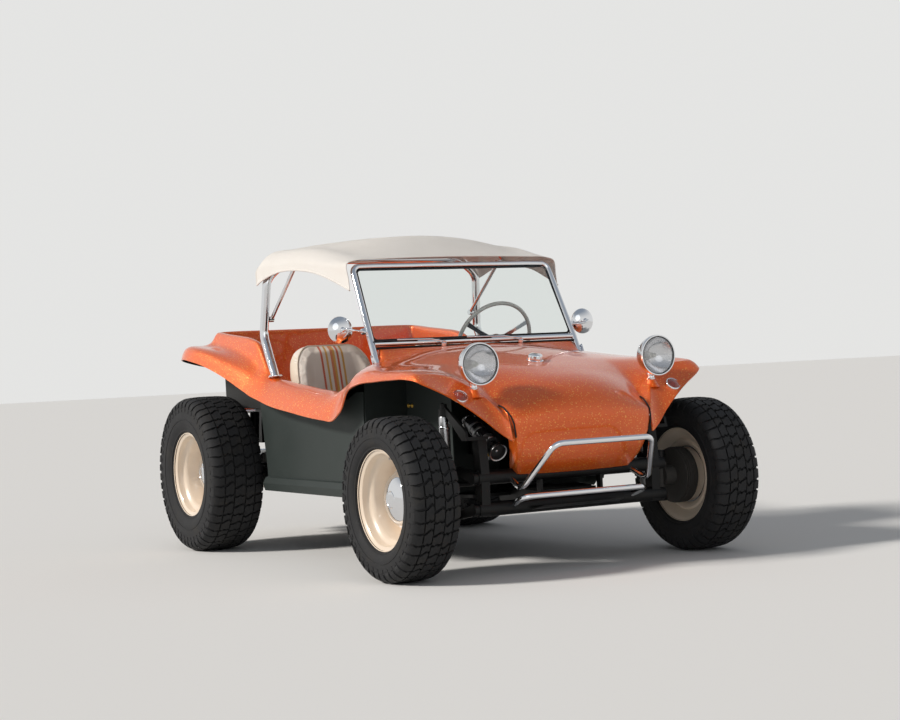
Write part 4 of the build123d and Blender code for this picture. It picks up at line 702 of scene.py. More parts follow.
def netted(name, rows, turned=False):
    """A skin over rows of points, all of one length."""
    width = len(rows[0])
    corners = [p for row in rows for p in row]
    faces = []
    for r in range(len(rows) - 1):
        for c in range(width - 1):
            a = r * width + c
            quad = (a, a + width, a + width + 1, a + 1)
            faces.append(quad[::-1] if turned else quad)
    return shape(name, corners, faces)


def columns(stations, steps):
    """The stations' points, followed along the body from station to station."""
    return [flow([s[c] for s in stations], steps) for c in range(len(stations[0]))]


def hood_rows():
    """Rows of points across half the bonnet and nose, from the middle out to the edge."""
    steps = [s[-1] for s in HOOD_STATIONS[:-1]]
    middle = flow([(s[0] * MM, 0, s[1] * MM) for s in HOOD_STATIONS], steps)
    edge = flow([(s[2] * MM, s[3] * MM, s[4] * MM) for s in HOOD_STATIONS], steps)
    rows = []
    for m, e in zip(middle, edge):
        row = []
        for k in range(HOOD_ACROSS + 1):
            share = k / HOOD_ACROSS
            fall = share**HOOD_CROWN
            row.append(Vector((m.x + (e.x - m.x) * fall, e.y * share, m.z + (e.z - m.z) * fall)))
        rows.append(row)
    return rows


def fender_rows(hood):
    """Rows from the bonnet's edge over the fender to its lip, crisp at the crest towards the front."""
    steps = [s[-1] for s in HOOD_STATIONS[: len(FENDER_STATIONS) - 1]]
    stations = [[Vector(p) * MM for p in s] for s in FENDER_STATIONS]
    along = columns(stations, steps)
    crest = []
    for i, count in enumerate(steps):
        crest += [
            FENDER_CREST[i] + (FENDER_CREST[i + 1] - FENDER_CREST[i]) * k / count for k in range(count)
        ]
    crest.append(FENDER_CREST[-1])
    rows = []
    for r, sharp in enumerate(crest):
        points = [hood[r][-1]] + [line[r] for line in along]
        smooth = flow(points, (4, 4, 4, 5, 4), before=hood[r][-2])
        broken = flow(points[:4], (4, 4, 4), before=hood[r][-2]) + flow(points[3:], (5, 4))[1:]
        rows.append([a.lerp(b, sharp) for a, b in zip(smooth, broken)])
    return rows


def side_rows(fender):
    """Rows from the foot of the tub's wall over its rim to the lip, along the sill and round the tail."""
    steps = [s[-1] for s in SIDE_STATIONS[:-1]]
    stations = [[Vector(p) * MM for p in s[:-1]] for s in SIDE_STATIONS]
    along = columns(stations, steps)
    rows = []
    for r in range(len(along[0])):
        foot, *points = [line[r] for line in along]
        wall = [foot.lerp(points[0], k / 6) for k in range(6)]
        rows.append(wall + flow(points, (3, 4, 5, 4), before=points[0] - Vector((0, 0, 0.02))))
    rows[0][-14:] = fender[0][-14:]
    return rows


def make_body():
    """The whole moulding in one skin: bonnet, nose, fenders, sills, tub walls and tail."""
    hood = hood_rows()
    fender = fender_rows(hood)
    side = side_rows(fender)
    steps = [s[-1] for s in HOOD_STATIONS[:-1]]
    nose_start = sum(steps[:NOSE_RETURN_FROM])
    flange = []
    for row in hood[nose_start:]:
        bulge = [Vector((0, NOSE_BULGE, 0)) * math.sin(k * 0.8) for k in range(5)]
        flange.append([row[-1] + NOSE_RETURN * (k / 4) + bulge[k] for k in range(5)])
    well = flow([(x * MM, TUB_Y, z * MM) for x, z in WELL_LINE], (5, 2, 3, 4, 4, 2, 2))
    floor_rows = [[Vector((p.x, p.y * k / 8, p.z)) for k in range(9)] for p in well]
    pieces = [
        netted("bonnet", hood),
        netted("fender", fender),
        netted("side", side, turned=True),
        netted("nose flange", flange),
        netted("rear well", floor_rows, turned=True),
    ]
    body = mirrored(joined("body_moulding", *pieces))
    bpy.ops.object.mode_set(mode="EDIT")
    bpy.ops.mesh.select_all(action="SELECT")
    bpy.ops.mesh.remove_doubles(threshold=0.0008)
    bpy.ops.object.mode_set(mode="OBJECT")
    change(body, "SUBSURF", levels=1, render_levels=1)
    painted(body, orange, underbody)
    materials = {"material_offset": 1, "material_offset_rim": 0}
    change(body, "SOLIDIFY", thickness=SKIN, offset=-1, use_even_offset=False, **materials)
    replaced = ("hood", "front_fenders", "body_sides", "rear_fenders", "rear_deck")
    finished(body, None, nodes=replaced, angle=50)


make_body()


# Tyres and wheels: each is modelled once round the origin, facing the left side, then copied to its places

# Axle's x, wheel's y, tyre's radius and half width, rim's half width, hub face, blocks round the tyre
Axle = namedtuple("Axle", "x y radius half lip hub pitches")
AXLES = {
    "front": Axle(FRONT_AXLE_X, 0.746, 0.338, 0.108, 0.083, -0.06, 21),
    "rear": Axle(REAR_AXLE_X, 0.734, 0.383, 0.1335, 0.109, -0.058, 24),
}
AXIS = ((0, 0, 0), (0, 1, 0))
ROUND = 96
RIM_LIP = 0.208
RIM_METAL = 0.003
CAP_PROUD = 0.02
CAP_EDGE_POINTS = 4
TREAD_DEPTH = 0.0105
TREAD_HALF = 0.108
CENTRE_LUGS = [
    # rows of one block: reach over the section in mm, then its two ends in pitches round the tyre
    [(-21, 0.1, 0.44), (-12, 0.02, 0.5), (0, 0.06, 0.44), (10, -0.04, 0.36), (21, 0.02, 0.34)],
    [(-21, 0.56, 0.96), (-10, 0.6, 0.92), (0, 0.52, 0.98), (12, 0.46, 0.9), (21, 0.44, 0.92)],
]
SIDE_LUGS = [
    [(26, 0.16, 0.6), (34, 0.06, 0.66), (44, 0.12, 0.58), (52, 0.02, 0.5), (60, 0.06, 0.46)],
    [(26, 0.7, 1.06), (36, 0.76, 0.98), (46, 0.68, 1.02), (54, 0.6, 0.94), (60, 0.56, 0.96)],
    [
        (66, 0.04, 0.5), (78, -0.02, 0.44), (92, 0.02, 0.46), (104, 0.04, 0.42), (114, 0.05, 0.41),
        (124, 0.08, 0.38),
    ],
    [
        (66, 0.58, 0.96), (80, 0.54, 0.9), (92, 0.52, 0.94), (102, 0.54, 0.92), (110, 0.56, 0.9),
        (118, 0.6, 0.86),
    ],
    [(129, 0.1, 0.36), (139, 0.12, 0.34)],
    [(124, 0.62, 0.84), (139, 0.6, 0.86)],
]
SHOULDER_REACH = 80
SHOULDER_LOSS = 0.006
TAB_REACH = 122
TAB_HEIGHT = 0.0022
LUG_SUNK = 0.002
LUG_DRAFT = 0.012


def carcass(axle):
    """Half of a tyre's section from the tread's middle to the bead, as points (across, radius)."""
    half = axle.half
    crown = axle.radius - TREAD_DEPTH
    wall = crown - RIM_LIP
    stops = [
        (0, crown), (0.5 * half, crown - 0.0015), (0.78 * half, crown - 0.006),
        (0.93 * half, crown - 0.017), (0.985 * half, crown - 0.32 * wall), (half, crown - 0.52 * wall),
        (0.985 * half, crown - 0.74 * wall), (0.92 * half, crown - 0.88 * wall),
        (axle.lip + 0.006, RIM_LIP + 0.003), (axle.lip - 0.004, RIM_LIP - 0.006),
    ]
    return flow([(a, r, 0) for a, r in stops], (3, 3, 3, 4, 3, 3, 3, 2, 1))


def on_section(section, reach):
    """The place and outward direction this far along a half section."""
    for a, b in zip(section, section[1:]):
        length = (b - a).length
        if reach <= length:
            break
        reach -= length
    ahead = (b - a).normalized()
    return a + ahead * reach, Vector((-ahead.y, ahead.x, 0))


def lug_height(reach):
    """Full depth over the tread, falling away down the shoulder to shallow tabs on the side wall."""
    if reach < SHOULDER_REACH:
        return TREAD_DEPTH
    if reach < TAB_REACH:
        return TREAD_DEPTH - SHOULDER_LOSS * (reach - SHOULDER_REACH) / (TAB_REACH - SHOULDER_REACH)
    return TAB_HEIGHT


def tread_blocks(section, half, pitches):
    """Every block of the tread, each with drafted sides, standing on the section."""
    scale = half / TREAD_HALF
    corners = []
    faces = []
    blocks = [(1, rows) for rows in CENTRE_LUGS] + [(side, rows) for side in (1, -1) for rows in SIDE_LUGS]
    for pitch in range(pitches):
        for side, rows in blocks:
            start = len(corners)
            for reach, first, last in rows:
                place, out = on_section(section, abs(reach) * MM * scale)
                top = lug_height(abs(reach))
                rise = [(first, -LUG_SUNK), (first + LUG_DRAFT, top)]
                for along, lift in [*rise, (last - LUG_DRAFT, top), (last, -LUG_SUNK)]:
                    spot = place + out * lift
                    turn = (pitch + side * along + (side < 0) * 0.5) * math.tau / pitches
                    across = math.copysign(spot.x, reach) * side
                    corners.append((spot.y * math.sin(turn), across, spot.y * math.cos(turn)))
            for r in range(len(rows) - 1):
                for c in range(3):
                    a = start + 4 * r + c
                    faces.append((a, a + 1, a + 5, a + 4))
            faces.append((start, start + 1, start + 2, start + 3))
            faces.append(tuple(len(corners) - k for k in (1, 2, 3, 4)))
    return settle(shape("tread blocks", corners, faces))


def make_tyre(axle):
    """One tyre: the casing from bead to bead, rings on its walls and the tread blocks."""
    section = carcass(axle)
    profile = [(-p.x, p.y) for p in reversed(section)] + [(p.x, p.y) for p in section[1:]]
    parts = [spun("casing", profile, *AXIS, ROUND), tread_blocks(section, axle.half, axle.pitches)]
    crown = axle.radius - TREAD_DEPTH
    for share, width in ((0.6, 0.0022), (0.93, 0.0032)):
        middle = crown - share * (crown - RIM_LIP)
        outer = max(p.x for p in section if p.y < middle + 0.003)
        ring = [(outer - 0.002, middle + 2 * width), (outer + 0.002, middle + width)]
        ring += [(outer + 0.002, middle - width), (outer - 0.004, middle - 2 * width)]
        for side in (1, -1):
            parts.append(spun("wall ring", [(side * a, r) for a, r in ring], *AXIS, 72))
    return painted(joined("tyre", *parts), rubber)


def make_rim(axle):
    """A deep pressed rim with rolled lips, a drop centre and the disc that carries it."""
    lip = axle.lip
    hub = axle.hub
    barrel = [
        (lip + 0.002, 0.204), (lip + 0.0028, 0.2065), (lip + 0.0012, 0.2085), (lip - 0.0015, 0.208),
        (lip - 0.0032, 0.2045), (lip - 0.005, 0.1965), (lip - 0.01, 0.1905), (lip - 0.016, 0.189),
        (lip - 0.033, 0.1865), (lip - 0.037, 0.184), (lip - 0.042, 0.176), (lip - 0.049, 0.1675),
        (lip - 0.058, 0.1635), (-0.05, 0.159), (-0.056, 0.164), (-0.064, 0.182), (-lip + 0.008, 0.19),
        (-lip + 0.005, 0.1965), (-lip + 0.003, 0.2045), (-lip - 0.0005, 0.2085), (-lip - 0.0022, 0.205),
    ]
    disc = [
        (-0.036, 0.1605), (-0.05, 0.1585), (-0.055, 0.15), (-0.052, 0.138), (-0.041, 0.128),
        (-0.031, 0.12), (-0.029, 0.112), (-0.036, 0.1), (hub + 0.01, 0.08), (hub, 0.064), (hub, 0),
    ]
    parts = []
    for name, profile in (("barrel", barrel), ("disc", disc)):
        parts.append(change(spun(name, profile, *AXIS, ROUND), "SOLIDIFY", thickness=RIM_METAL, offset=0))
    return painted(joined("rim", *parts), cream)


def make_cap():
    """A domed hub cap with a rolled edge, one step and one plain raised ring in its middle."""
    profile = [
        (-0.04, 0.1205), (-0.039, 0.1245), (-0.035, 0.1262), (-0.031, 0.124), (-0.029, 0.119),
        (-0.0285, 0.113), (-0.026, 0.1105), (-0.014, 0.108), (-0.005, 0.103), (0.003, 0.0945),
        (0.011, 0.08), (0.0175, 0.062), (0.0215, 0.045), (0.023, 0.0365), (0.0248, 0.035),
        (0.025, 0.0325), (0.0235, 0.0305), (0.0245, 0.02), (0.0252, 0),
    ]
    edge = profile[:CAP_EDGE_POINTS]
    dome = [(a + CAP_PROUD, r) for a, r in profile[CAP_EDGE_POINTS:]]
    return painted(spun("cap", edge + dome, *AXIS, ROUND), chrome)


def make_drum(axle):
    """The finned brake drum behind the disc."""
    hub = axle.hub
    profile = [(hub - 0.002, 0), (hub - 0.002, 0.104), (hub - 0.01, 0.118)]
    for k in range(5):
        start = hub - 0.014 - 0.008 * k
        profile += [
            (start, 0.119), (start - 0.001, 0.1235), (start - 0.004, 0.1235), (start - 0.005, 0.119),
        ]
    profile += [(hub - 0.06, 0.1235), (hub - 0.062, 0.118), (hub - 0.062, 0.03)]
    return painted(spun("drum", profile, *AXIS, 72), iron)


def make_valve():
    """The rubber air valve in the barrel, with its metal cap."""
    stem = painted(bar("valve", [(0, 0.012, 0.171), (0, 0.034, 0.166)], 0.0036, sides=3), black_plastic)
    tip = painted(bar("valve tip", [(0, 0.033, 0.1663), (0, 0.04, 0.1647)], 0.0042, sides=3), steel)
    return joined("valve", stem, tip)


def make_wheels():
    """Four tyres and four wheels with their caps, drums and valves."""
    for end, axle in AXLES.items():
        whole = {
            "tyre": (make_tyre(axle), "tyre_rubber", 25),
            "rim": (make_rim(axle), "wheel_cream", 35),
            "cap": (make_cap(), "chrome", 40),
            "drum": (make_drum(axle), None, 30),
            "valve": (make_valve(), None, 40),
        }
        for side, sign in (("left", 1), ("right", -1)):
            replaced = {"tyre": [f"tyre_{end}_{side}"], "rim": [f"wheel_{end}_{side}"]}
            for kind, (piece, slot, angle) in whole.items():
                move = (axle.x, sign * axle.y, axle.radius)
                made = copied(piece, f"{kind}_on_{end}_{side}", move, turned=side == "right")
                finished(made, None, f"wheel_{end}_{side}", replaced.get(kind, []), angle)
        for made in whole.values():
            bpy.data.objects.remove(made[0])


make_wheels()


# The canvas top

CANVAS = 0.003
CORD = 0.0042
LEAN_FROM = 170
FRONT_LEAN = 0.18
CANOPY_STATIONS = [
    # in mm: x, half width, heights at the edge, the shoulder, a quarter in and the middle; steps on
    (418, 552, 1225, 1345, 1364, 1370, 5),
    (300, 566, 1275, 1352, 1392, 1422, 5),
    (170, 582, 1318, 1362, 1424, 1478, 7),
    (-30, 596, 1346, 1380, 1451, 1497, 7),
    (-230, 604, 1346, 1382, 1458, 1502, 7),
    (-392, 616, 1312, 1384, 1452, 1491, 3),
    (-440, 612, 1300, 1362, 1424, 1462, 0),
]


def canopy_row(x, half, edge, shoulder, quarter, crown):
    """One arch of the canvas, from the right hem over the middle to the left one."""
    middle = shoulder + 0.74 * (quarter - shoulder)
    side = [(half, edge), (half, (edge + shoulder) / 2), (half, shoulder), (half - 42, middle)]
    side += [(half - 150, quarter), (half * 0.42, quarter + 0.68 * (crown - quarter))]
    arch = [(-y, z) for y, z in side] + [(0, crown)] + [(y, z) for y, z in reversed(side)]
    lean = FRONT_LEAN * max(0, x - LEAN_FROM) / (CANOPY_STATIONS[0][0] - LEAN_FROM)
    return [Vector((x + lean * max(0, shoulder - z), y, z)) * MM for y, z in arch]


def make_canopy():
    """One sheet of canvas stretched over the windshield's head and the roll bar, with a corded hem."""
    steps = [s[-1] for s in CANOPY_STATIONS[:-1]]
    along = columns([canopy_row(*s[:-1]) for s in CANOPY_STATIONS], steps)
    across = (3, 3, 3, 4, 5, 5, 5, 5, 4, 3, 3, 3)
    rows = [flow([line[r] for line in along], across) for r in range(len(along[0]))]
    cloth = netted("canopy_sheet", rows, turned=True)
    change(cloth, "SUBSURF", levels=1, render_levels=1)
    change(cloth, "SOLIDIFY", thickness=CANVAS, offset=-1)
    finished(cloth, canvas, nodes=("canopy",), angle=60)
    lower = Vector((0, 0, -CANVAS / 2))
    hems = Kit()
    for edge in ([row[0] for row in rows], [row[-1] for row in rows], rows[-1]):
        hems.put(canvas, bar("hem", [p + lower for p in edge], CORD, bend=0.002, steps=1, sides=3))
    hem = joined("canopy_hem", *hems)
    finished(hem, None, angle=60)
    width = max(sum((b - a).length for a, b in zip(row, row[1:])) for row in rows)
    middle = len(rows[0]) // 2
    length = sum((b[middle] - a[middle]).length for a, b in zip(rows, rows[1:]))


make_canopy()


# Seats: padded buckets, modelled round the car's middle and copied to the two sides

SEAT_Y = 0.325
SEAT_HALF = 0.208
BACK_STATIONS = [
    # in mm: height, front face's x, thickness, share of the full width, depth of the side bolsters; steps on
    (552, -140, 96, 0.93, 24, 2),
    (600, -158, 98, 0.98, 32, 3),
    (700, -184, 101, 1, 36, 3),
    (800, -208, 101, 1, 36, 3),
    (880, -227, 98, 0.985, 30, 3),
    (925, -239, 92, 0.94, 22, 2),
    (960, -250, 82, 0.85, 12, 2),
    (984, -262, 64, 0.72, 5, 2),
    (997, -277, 36, 0.54, 0, 0),
]
BASE_STATIONS = [
    # in mm: x, top face's height, thickness, share of the full width, depth of the side bolsters; steps on
    (-172, 560, 120, 0.93, 22, 2),
    (-110, 538, 118, 0.98, 26, 3),
    (0, 534, 124, 1, 28, 3),
    (90, 540, 138, 1, 26, 3),
    (150, 545, 152, 1, 20, 2),
    (180, 538, 150, 0.985, 12, 2),
    (194, 516, 118, 0.95, 4, 2),
    (199, 480, 50, 0.9, 0, 0),
]
PAD_SECTION = [
    # across as a share of the half width, out in bolster depths, in as a share of the thickness
    (0, 0, 0),
    (0.3, 0, 0),
    (0.54, 0.04, 0),
    (0.66, 0.36, 0),
    (0.78, 0.92, 0),
    (0.88, 1, 0),
    (0.965, 0.55, 0.03),
    (1, 0, 0.16),
    (1, 0, 0.55),
    (0.965, 0, 0.88),
    (0.86, 0, 1),
    (0, 0, 1),
]
PAD_SWELL = 0.009
PAD_GRAIN = 0.006
PAD_PRESSURE = 4
PAD_FRAMES = 20
SIDE_FACING = 0.8
BACK_FACING = -0.5
PIPING_AT = 6
PIPING_PROUD = 0.0012


def pad_place(station, share, bolster, depth, upright):
    """One point of a pad's skin, for a back that stands up or a cushion that lies flat."""
    along, face, thick, width, side = station[:-1]
    y = share * width * SEAT_HALF / MM
    out = face + bolster * side - depth * thick
    return Vector((out, y, along) if upright else (along, y, out)) * MM


def pad_rows(stations, upright):
    """Closed rings of points round a pad, from one end to the other."""
    steps = [s[-1] for s in stations[:-1]]
    ring = PAD_SECTION + [(-share, out, depth) for share, out, depth in PAD_SECTION[-2:0:-1]]
    along = [flow([pad_place(s, *point, upright) for s in stations], steps) for point in ring]
    return [[line[r] for line in along] for r in range(len(along[0]))]


def cut_pad(name, stations, upright):
    """The pad as it is cut: rings joined into a closed skin."""
    rows = pad_rows(stations, upright)
    width = len(rows[0])
    corners = [p for row in rows for p in row]
    faces = [tuple(range(width)), tuple(len(corners) - 1 - k for k in range(width))]
    for r in range(len(rows) - 1):
        for c in range(width):
            a = r * width + c
            b = r * width + (c + 1) % width
            faces.append((a, b, b + width, a + width))
    return settle(shape(name, corners, faces))


def swollen(piece):
    """Fills a pad: its cloth swells under pressure, each point held near where it was cut."""
    piece.data.remesh_voxel_size = PAD_GRAIN
    take(piece)
    bpy.ops.object.voxel_remesh()
    cut = [point.co.copy() for point in piece.data.vertices]
    cloth = piece.modifiers.new("Cloth", "CLOTH")
    cloth.settings.quality = 5
    cloth.settings.use_pressure = True
    cloth.settings.uniform_pressure_force = PAD_PRESSURE
    cloth.settings.effector_weights.gravity = 0
    cloth.point_cache.frame_start = 1
    cloth.point_cache.frame_end = PAD_FRAMES
    for count in range(1, PAD_FRAMES + 1):
        bpy.context.scene.frame_set(count)
    bpy.ops.object.modifier_apply(modifier=cloth.name)
    bpy.context.scene.frame_set(1)
    for point, start in zip(piece.data.vertices, cut):
        move = point.co - start
        if move.length > PAD_SWELL:
            point.co = start + move.normalized() * PAD_SWELL
    return change(piece, "SMOOTH", factor=0.5, iterations=4)


def on_skin(pad, place):
    """The point of a pad's skin nearest a place, a little proud of it."""
    spot, normal = pad.closest_point_on_mesh(place)[1:3]
    return spot + normal * PIPING_PROUD


def make_seats():
    """Two seats, each a padded back and a cushion with corded edges and five stripes down the middle."""
    back = swollen(cut_pad("back pad", BACK_STATIONS, True))
    base = swollen(cut_pad("base pad", BASE_STATIONS, False))
    cords = []
    for pad, stations, upright in ((back, BACK_STATIONS, True), (base, BASE_STATIONS, False)):
        rows = pad_rows(stations, upright)
        width = len(rows[0])
        near = [row[PIPING_AT] for row in rows]
        far = [row[width - PIPING_AT] for row in reversed(rows)]
        over = [near[-1].lerp(far[0], k / 8) for k in range(1, 8)]
        loop = [on_skin(pad, place) for place in near + over + far]
        cords.append(bar("edge cord", loop, CORD, bend=0.01, steps=2, sides=3))
    cord = painted(joined("edge cords", *cords), seat_vinyl)
    for side, sign in (("left", 1), ("right", -1)):
        cloth = seat_cloth(f"striped seat cloth {side}", sign * SEAT_Y)
        move = (0, sign * SEAT_Y, 0)
        for kind, pad in (("back", back), ("base", base)):
            made = copied(pad, f"seat_{kind}_{side}", move)
            painted(made, cloth, seat_vinyl)
            for face in made.data.polygons:
                aside = abs(face.normal.y) > SIDE_FACING
                behind = (face.normal.x if kind == "back" else face.normal.z) < BACK_FACING
                face.material_index = 1 if aside or behind else 0
            replaced = ["seats"] if kind == "back" and side == "left" else []
            finished(made, None, nodes=replaced, angle=80)
        trim = copied(cord, f"seat_cord_{side}", move)
        finished(trim, None, angle=60)
    for pad in (back, base, cord):
        bpy.data.objects.remove(pad)


make_seats()


# Tubes, glass fittings and lamps


def lathed(name, centre, axis, parts, steps=64):
    """Several turned parts on one axis, each with its own finish, as one piece."""
    made = Kit()
    for finish, profile in parts:
        made.put(finish, spun("turned part", profile, centre, axis, steps))
    return joined(name, *made)


def both_sides(piece):
    """The piece with its twin across the middle, keeping each face's material."""
    twin = copied(piece, "twin", (0, 0, 0), flipped=True)
    return joined(piece.name, piece, twin)


def make_tubes():
    """The roll bar with its foot plates, and the front hoop with its push bar."""
    side = [(-0.296, 0.6, 0.846), (-0.352, 0.5995, 0.935), (-0.418, 0.598, 1.05), (-0.382, 0.584, 1.325)]
    side.append((-0.382, 0.48, 1.41))
    parts = [bar("roll tube", looped(side), 0.021, bend=0.09, steps=9, sides=8)]
    for sign in (1, -1):
        foot = (-0.3, sign * 0.6, 0.848)
        lean = (-0.16, 0, 1)
        parts.append(drum("foot plate", foot, lean, 0.036, 0.006, 0.0015, 40))
        for turn in (0.6, 2.7, 4.8):
            spot = Vector(foot) + Vector((math.cos(turn) * 0.028, math.sin(turn) * 0.028, 0.002))
            parts.append(drum("bolt", spot, lean, 0.0055, 0.01, 0.001, 6))
    finished(joined("roll_tube", *parts), chrome, nodes=("roll_bar",), angle=40)

    hoop = [(1.338, 0.3, 0.392), (1.436, 0.316, 0.352), (1.5875, 0.238, 0.538)]
    push = [(1.34, 0.296, 0.285), (1.436, 0.318, 0.322)]
    parts = []
    for stops, bend in ((hoop, 0.052), (push, 0.045)):
        parts.append(bar("bumper tube", looped(stops), 0.0125, bend=bend, steps=8, sides=7))
    finished(joined("front_hoop", *parts), chrome, nodes=("front_bumper",), angle=40)
    skid = [(1.352, -0.22, 0.262), (1.352, 0.22, 0.262), (1.418, 0.2, 0.278), (1.418, -0.2, 0.278)]
    finished(plate("skid_plate", skid, 0.004, 0.0015), black_paint, angle=30)


HEADLIGHT = (1.371, 0.444, 0.871)


def make_headlights():
    """Two lamps on plated stems with orange feet: bowl and rim, gasket, reflector, bulb and fluted lens."""
    shell = [
        (0.0035, 0.0795), (0.0055, 0.083), (0.0045, 0.0868), (0.0005, 0.088), (-0.015, 0.0878),
        (-0.0175, 0.0866), (-0.019, 0.0845), (-0.024, 0.084), (-0.042, 0.079), (-0.064, 0.068),
        (-0.084, 0.05), (-0.097, 0.03), (-0.1025, 0.012), (-0.1035, 0),
    ]
    gasket = [(0.001, 0.0785), (0.0048, 0.079), (0.0052, 0.0815), (0.003, 0.083)]
    mirror = [
        (-0.006, 0.078), (-0.018, 0.07), (-0.034, 0.056), (-0.048, 0.038), (-0.055, 0.02), (-0.057, 0),
    ]
    bulb = [
        (-0.056, 0.013), (-0.042, 0.013), (-0.04, 0.0085), (-0.026, 0.0085), (-0.02, 0.006),
        (-0.018, 0),
    ]
    parts = [(chrome, shell), (black_plastic, gasket), (bright_reflector, mirror), (lamp_glow, bulb)]
    bowl = lathed("headlight", HEADLIGHT, (1, 0, 0), parts, 80)
    x, y, z = HEADLIGHT
    seat = (x - 0.059, y)
    collar = [(0, 0), (0, 0.0165), (0.003, 0.02), (0.008, 0.0205), (0.01, 0.0155), (0.02, 0.015)]
    collar += [(0.022, 0.0185), (0.03, 0.019), (0.04, 0.015)]
    stem = lathed("stem", (*seat, z - 0.106), (0, 0, 1), [(chrome, collar)], 40)
    cone = [(-0.026, 0.04), (-0.016, 0.03), (-0.006, 0.0235), (0.004, 0.02), (0.006, 0.018), (0.006, 0)]
    base = lathed("cone", (*seat, z - 0.11), (0, 0, 1), [(orange, cone)], 40)
    whole = both_sides(joined("headlights", bowl, stem, base))
    finished(whole, None, nodes=("headlight_buckets",), angle=45)
    pane = [(0.0015, 0.08), (0.005, 0.078), (0.0095, 0.068), (0.013, 0.05), (0.0152, 0.028), (0.016, 0)]
    lens = lathed("headlight_panes", HEADLIGHT, (1, 0, 0), [(ribbed_glass, pane)], 80)
    finished(both_sides(lens), None, nodes=("headlight_lenses",), angle=60)


def make_signals():
    """Round signal lamps on the fenders' faces and tail lamps on the tail."""
    ring = [
        (-0.002, 0.0315), (0.004, 0.0345), (0.01, 0.0342), (0.0135, 0.0315), (0.0125, 0.0285),
        (0.007, 0.0275),
    ]
    dome = [(0.007, 0.0285), (0.0115, 0.027), (0.015, 0.019), (0.017, 0.01), (0.0176, 0)]
    place = (1.344, 0.532, 0.738)
    lean = (0.7, 0, 0.714)
    front = lathed("turn_lamps", place, lean, [(chrome, ring), (amber_lens, dome)], 56)
    finished(both_sides(front), None, nodes=("turn_signals",), angle=40)
    ring = [(-0.001, 0.04), (0.012, 0.04), (0.018, 0.0385), (0.021, 0.0355), (0.018, 0.0335)]
    dome = [(0.016, 0.0345), (0.022, 0.032), (0.0262, 0.022), (0.0278, 0.011), (0.0282, 0)]
    rear = lathed(
        "rear_lamps", (-1.1755, 0.43, 0.9295), (-0.93, 0, 0.366), [(chrome, ring), (red_lens, dome)], 56
    )
    finished(both_sides(rear), None, nodes=("tail_lamps",), angle=40)


def make_mirrors():
    """Round mirrors: a plated dome, its glass behind, a ball and a curved arm to the windshield's leg."""
    middle = (0.5, 0.64, 1.047)
    shell = [
        (0, 0.0555), (0, 0.059), (0.0035, 0.06), (0.0065, 0.0592), (0.008, 0.057), (0.015, 0.051),
        (0.022, 0.04), (0.0275, 0.025), (0.0305, 0.01), (0.031, 0),
    ]
    glass = [(0.0012, 0), (0.0012, 0.056)]
    boss = [(0.029, 0), (0.029, 0.012), (0.033, 0.0115), (0.037, 0.008), (0.043, 0.0078), (0.046, 0)]
    head = lathed(
        "mirror_head", middle, (1, 0, 0), [(chrome, shell), (bright_reflector, glass), (chrome, boss)], 72
    )
    route = [
        (0.541, 0.64, 1.047), (0.566, 0.636, 1.05), (0.582, 0.606, 1.04), (0.58, 0.566, 1.034),
        (0.562, 0.545, 1.034),
    ]
    arm = painted(bar("mirror arm", route, 0.005, bend=0.022, steps=8, sides=5), chrome)
    grip = painted(drum("clamp", (0.548, 0.546, 1.026), (-0.45, 0, 0.89), 0.013, 0.022, 0.002, 32), chrome)
    whole = both_sides(joined("door_mirrors", head, arm, grip))
    finished(whole, None, nodes=("mirrors",), angle=40)


def make_windshield():
    """The windshield's plated surround: round legs and header, lower bar, inner rubber and foot brackets."""
    side = [(0.6335, 0.531, 0.888), (0.593, 0.531, 0.968), (0.402, 0.516, 1.329), (0.402, 0.4, 1.331)]
    parts = Kit()
    parts.put(chrome, bar("surround", looped(side), 0.0142, bend=0.036, steps=9, sides=7))
    lower = [(0.5885, 0.52, 0.9775), (0.5885, -0.52, 0.9775)]
    parts.put(chrome, bar("lower bar", lower, 0.0125, sides=7))
    inner = [(0.58, 0, 0.9925), (0.58, 0.5165, 0.9925), (0.4095, 0.5015, 1.3145), (0.4095, 0, 1.3145)]
    inner += [(x, -y, z) for x, y, z in reversed(inner[1:3])] + [inner[0]]
    parts.put(seal_rubber, bar("rubber", inner, 0.005, bend=0.022, steps=7, sides=5))
    for sign in (1, -1):
        foot = block("foot bracket", (-0.016, -0.003, -0.03), (0.016, 0.003, 0.02), 0.002, 2)
        lean = Matrix.Rotation(-0.47, 4, "Y")
        foot.data.transform(Matrix.Translation((0.625, sign * 0.546, 0.914)) @ lean)
        parts.put(chrome, foot)
        for lift in (-0.018, 0.01):
            spot = (0.625 - 0.5 * lift, sign * 0.548, 0.914 + lift)
            parts.put(steel, drum("bracket bolt", spot, (0, sign, 0), 0.0055, 0.005, 0.001, 6))
    surround = joined("windshield_surround", *parts)
    finished(surround, None, nodes=("windshield_frame",), angle=45)


GRIP_R = 0.031
GRIP_LOBE = 0.0032
GRIP_STEPS = 48


